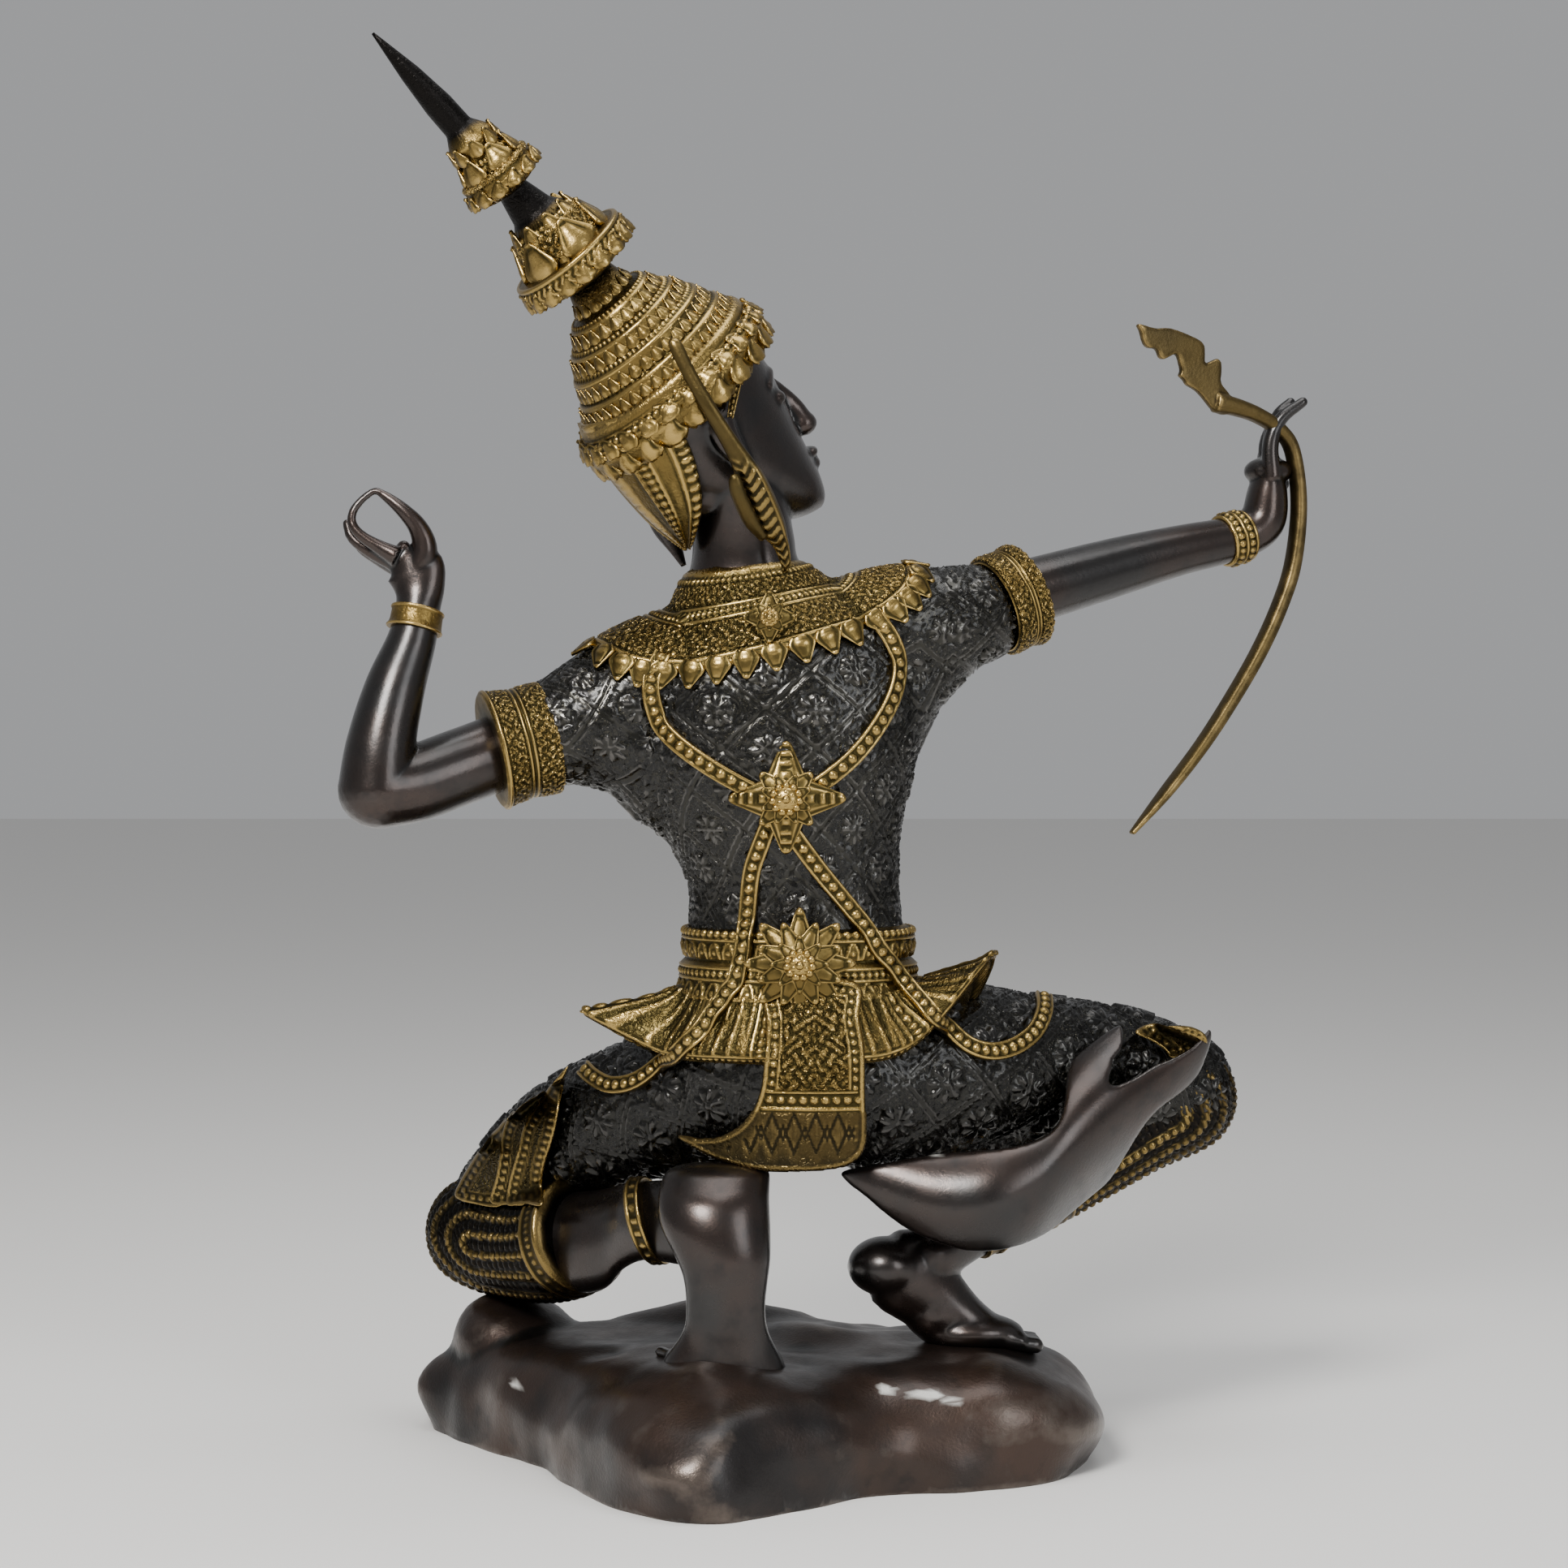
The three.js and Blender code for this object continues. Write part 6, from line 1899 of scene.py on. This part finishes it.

# %% [markdown]
# ## Floor
#
# A plain pale floor shows where the rock stands. It is no part of the object.
# %% Floor
FLOOR_HALF = 6
bm = bmesh.new()
bmesh.ops.create_grid(bm, x_segments=1, y_segments=1, size=FLOOR_HALF)
floor_mesh = bpy.data.meshes.new("floor")
bm.to_mesh(floor_mesh)
bm.free()
floor = bpy.data.objects.new("floor", floor_mesh)
bpy.context.scene.collection.objects.link(floor)
paper = bpy.data.materials.new("Pale floor")
paper.use_nodes = True
paper_shader = paper.node_tree.nodes["Principled BSDF"].inputs
paper_shader["Base Color"].default_value = (0.8, 0.79, 0.77, 1)
paper_shader["Roughness"].default_value = 0.8
floor_mesh.materials.append(paper)
print("the floor is", 2 * FLOOR_HALF, "m wide")

# %% [markdown]
# ## Light
#
# Metal shows what is round it, so its lights have to be large. A key light from the left gives the relief
# its shadows, a weaker one from the right and one above open them, and a pale world fills the rest.
# %% Lights
def soft_light(name, at, target, size, power, colour):
    """A large soft light that looks at a point."""
    data = bpy.data.lights.new(name, "AREA")
    data.shape = "RECTANGLE"
    data.size, data.size_y = size
    data.energy = power
    data.color = colour
    lamp = bpy.data.objects.new(name, data)
    lamp.location = at
    lamp.rotation_euler = (Vector(target) - Vector(at)).to_track_quat("-Z", "Y").to_euler()
    bpy.context.scene.collection.objects.link(lamp)


soft_light("key", (-0.65, -1.6, 1.5), (0, 0, 0.42), (0.6, 0.6), 54, (1, 0.98, 0.95))
soft_light("fill", (1.4, -1.6, 0.9), (0, 0, 0.35), (0.8, 1.2), 16, (0.96, 0.98, 1))
soft_light("top", (0.1, -0.1, 1.8), (0, 0, 0.3), (1.1, 1.1), 16, (1, 1, 1))
world = bpy.data.worlds.new("Studio")
world.use_nodes = True
sky = world.node_tree.nodes["Background"].inputs
sky["Color"].default_value = (0.92, 0.93, 0.95, 1)
sky["Strength"].default_value = 0.4
bpy.context.scene.world = world
print("lights:", [light.name for light in bpy.data.lights])

# %% [markdown]
# ## Camera
#
# The camera stands where the photographer stood: level with the chest, two metres away, looking down a
# little, with a moderately long lens.
# %% Camera
EYE, TILT = Vector((-28, -2000, 425)), math.radians(2.55)
lens = bpy.data.cameras.new("view")
lens.lens = 93.67
lens.sensor_width = 36
camera = bpy.data.objects.new("view", lens)
camera.location = (EYE - MIDDLE) * MM
camera.rotation_euler = (math.pi / 2 - TILT, 0, 0)
bpy.context.scene.collection.objects.link(camera)
bpy.context.scene.camera = camera
print("the camera stands at", camera.location[:])
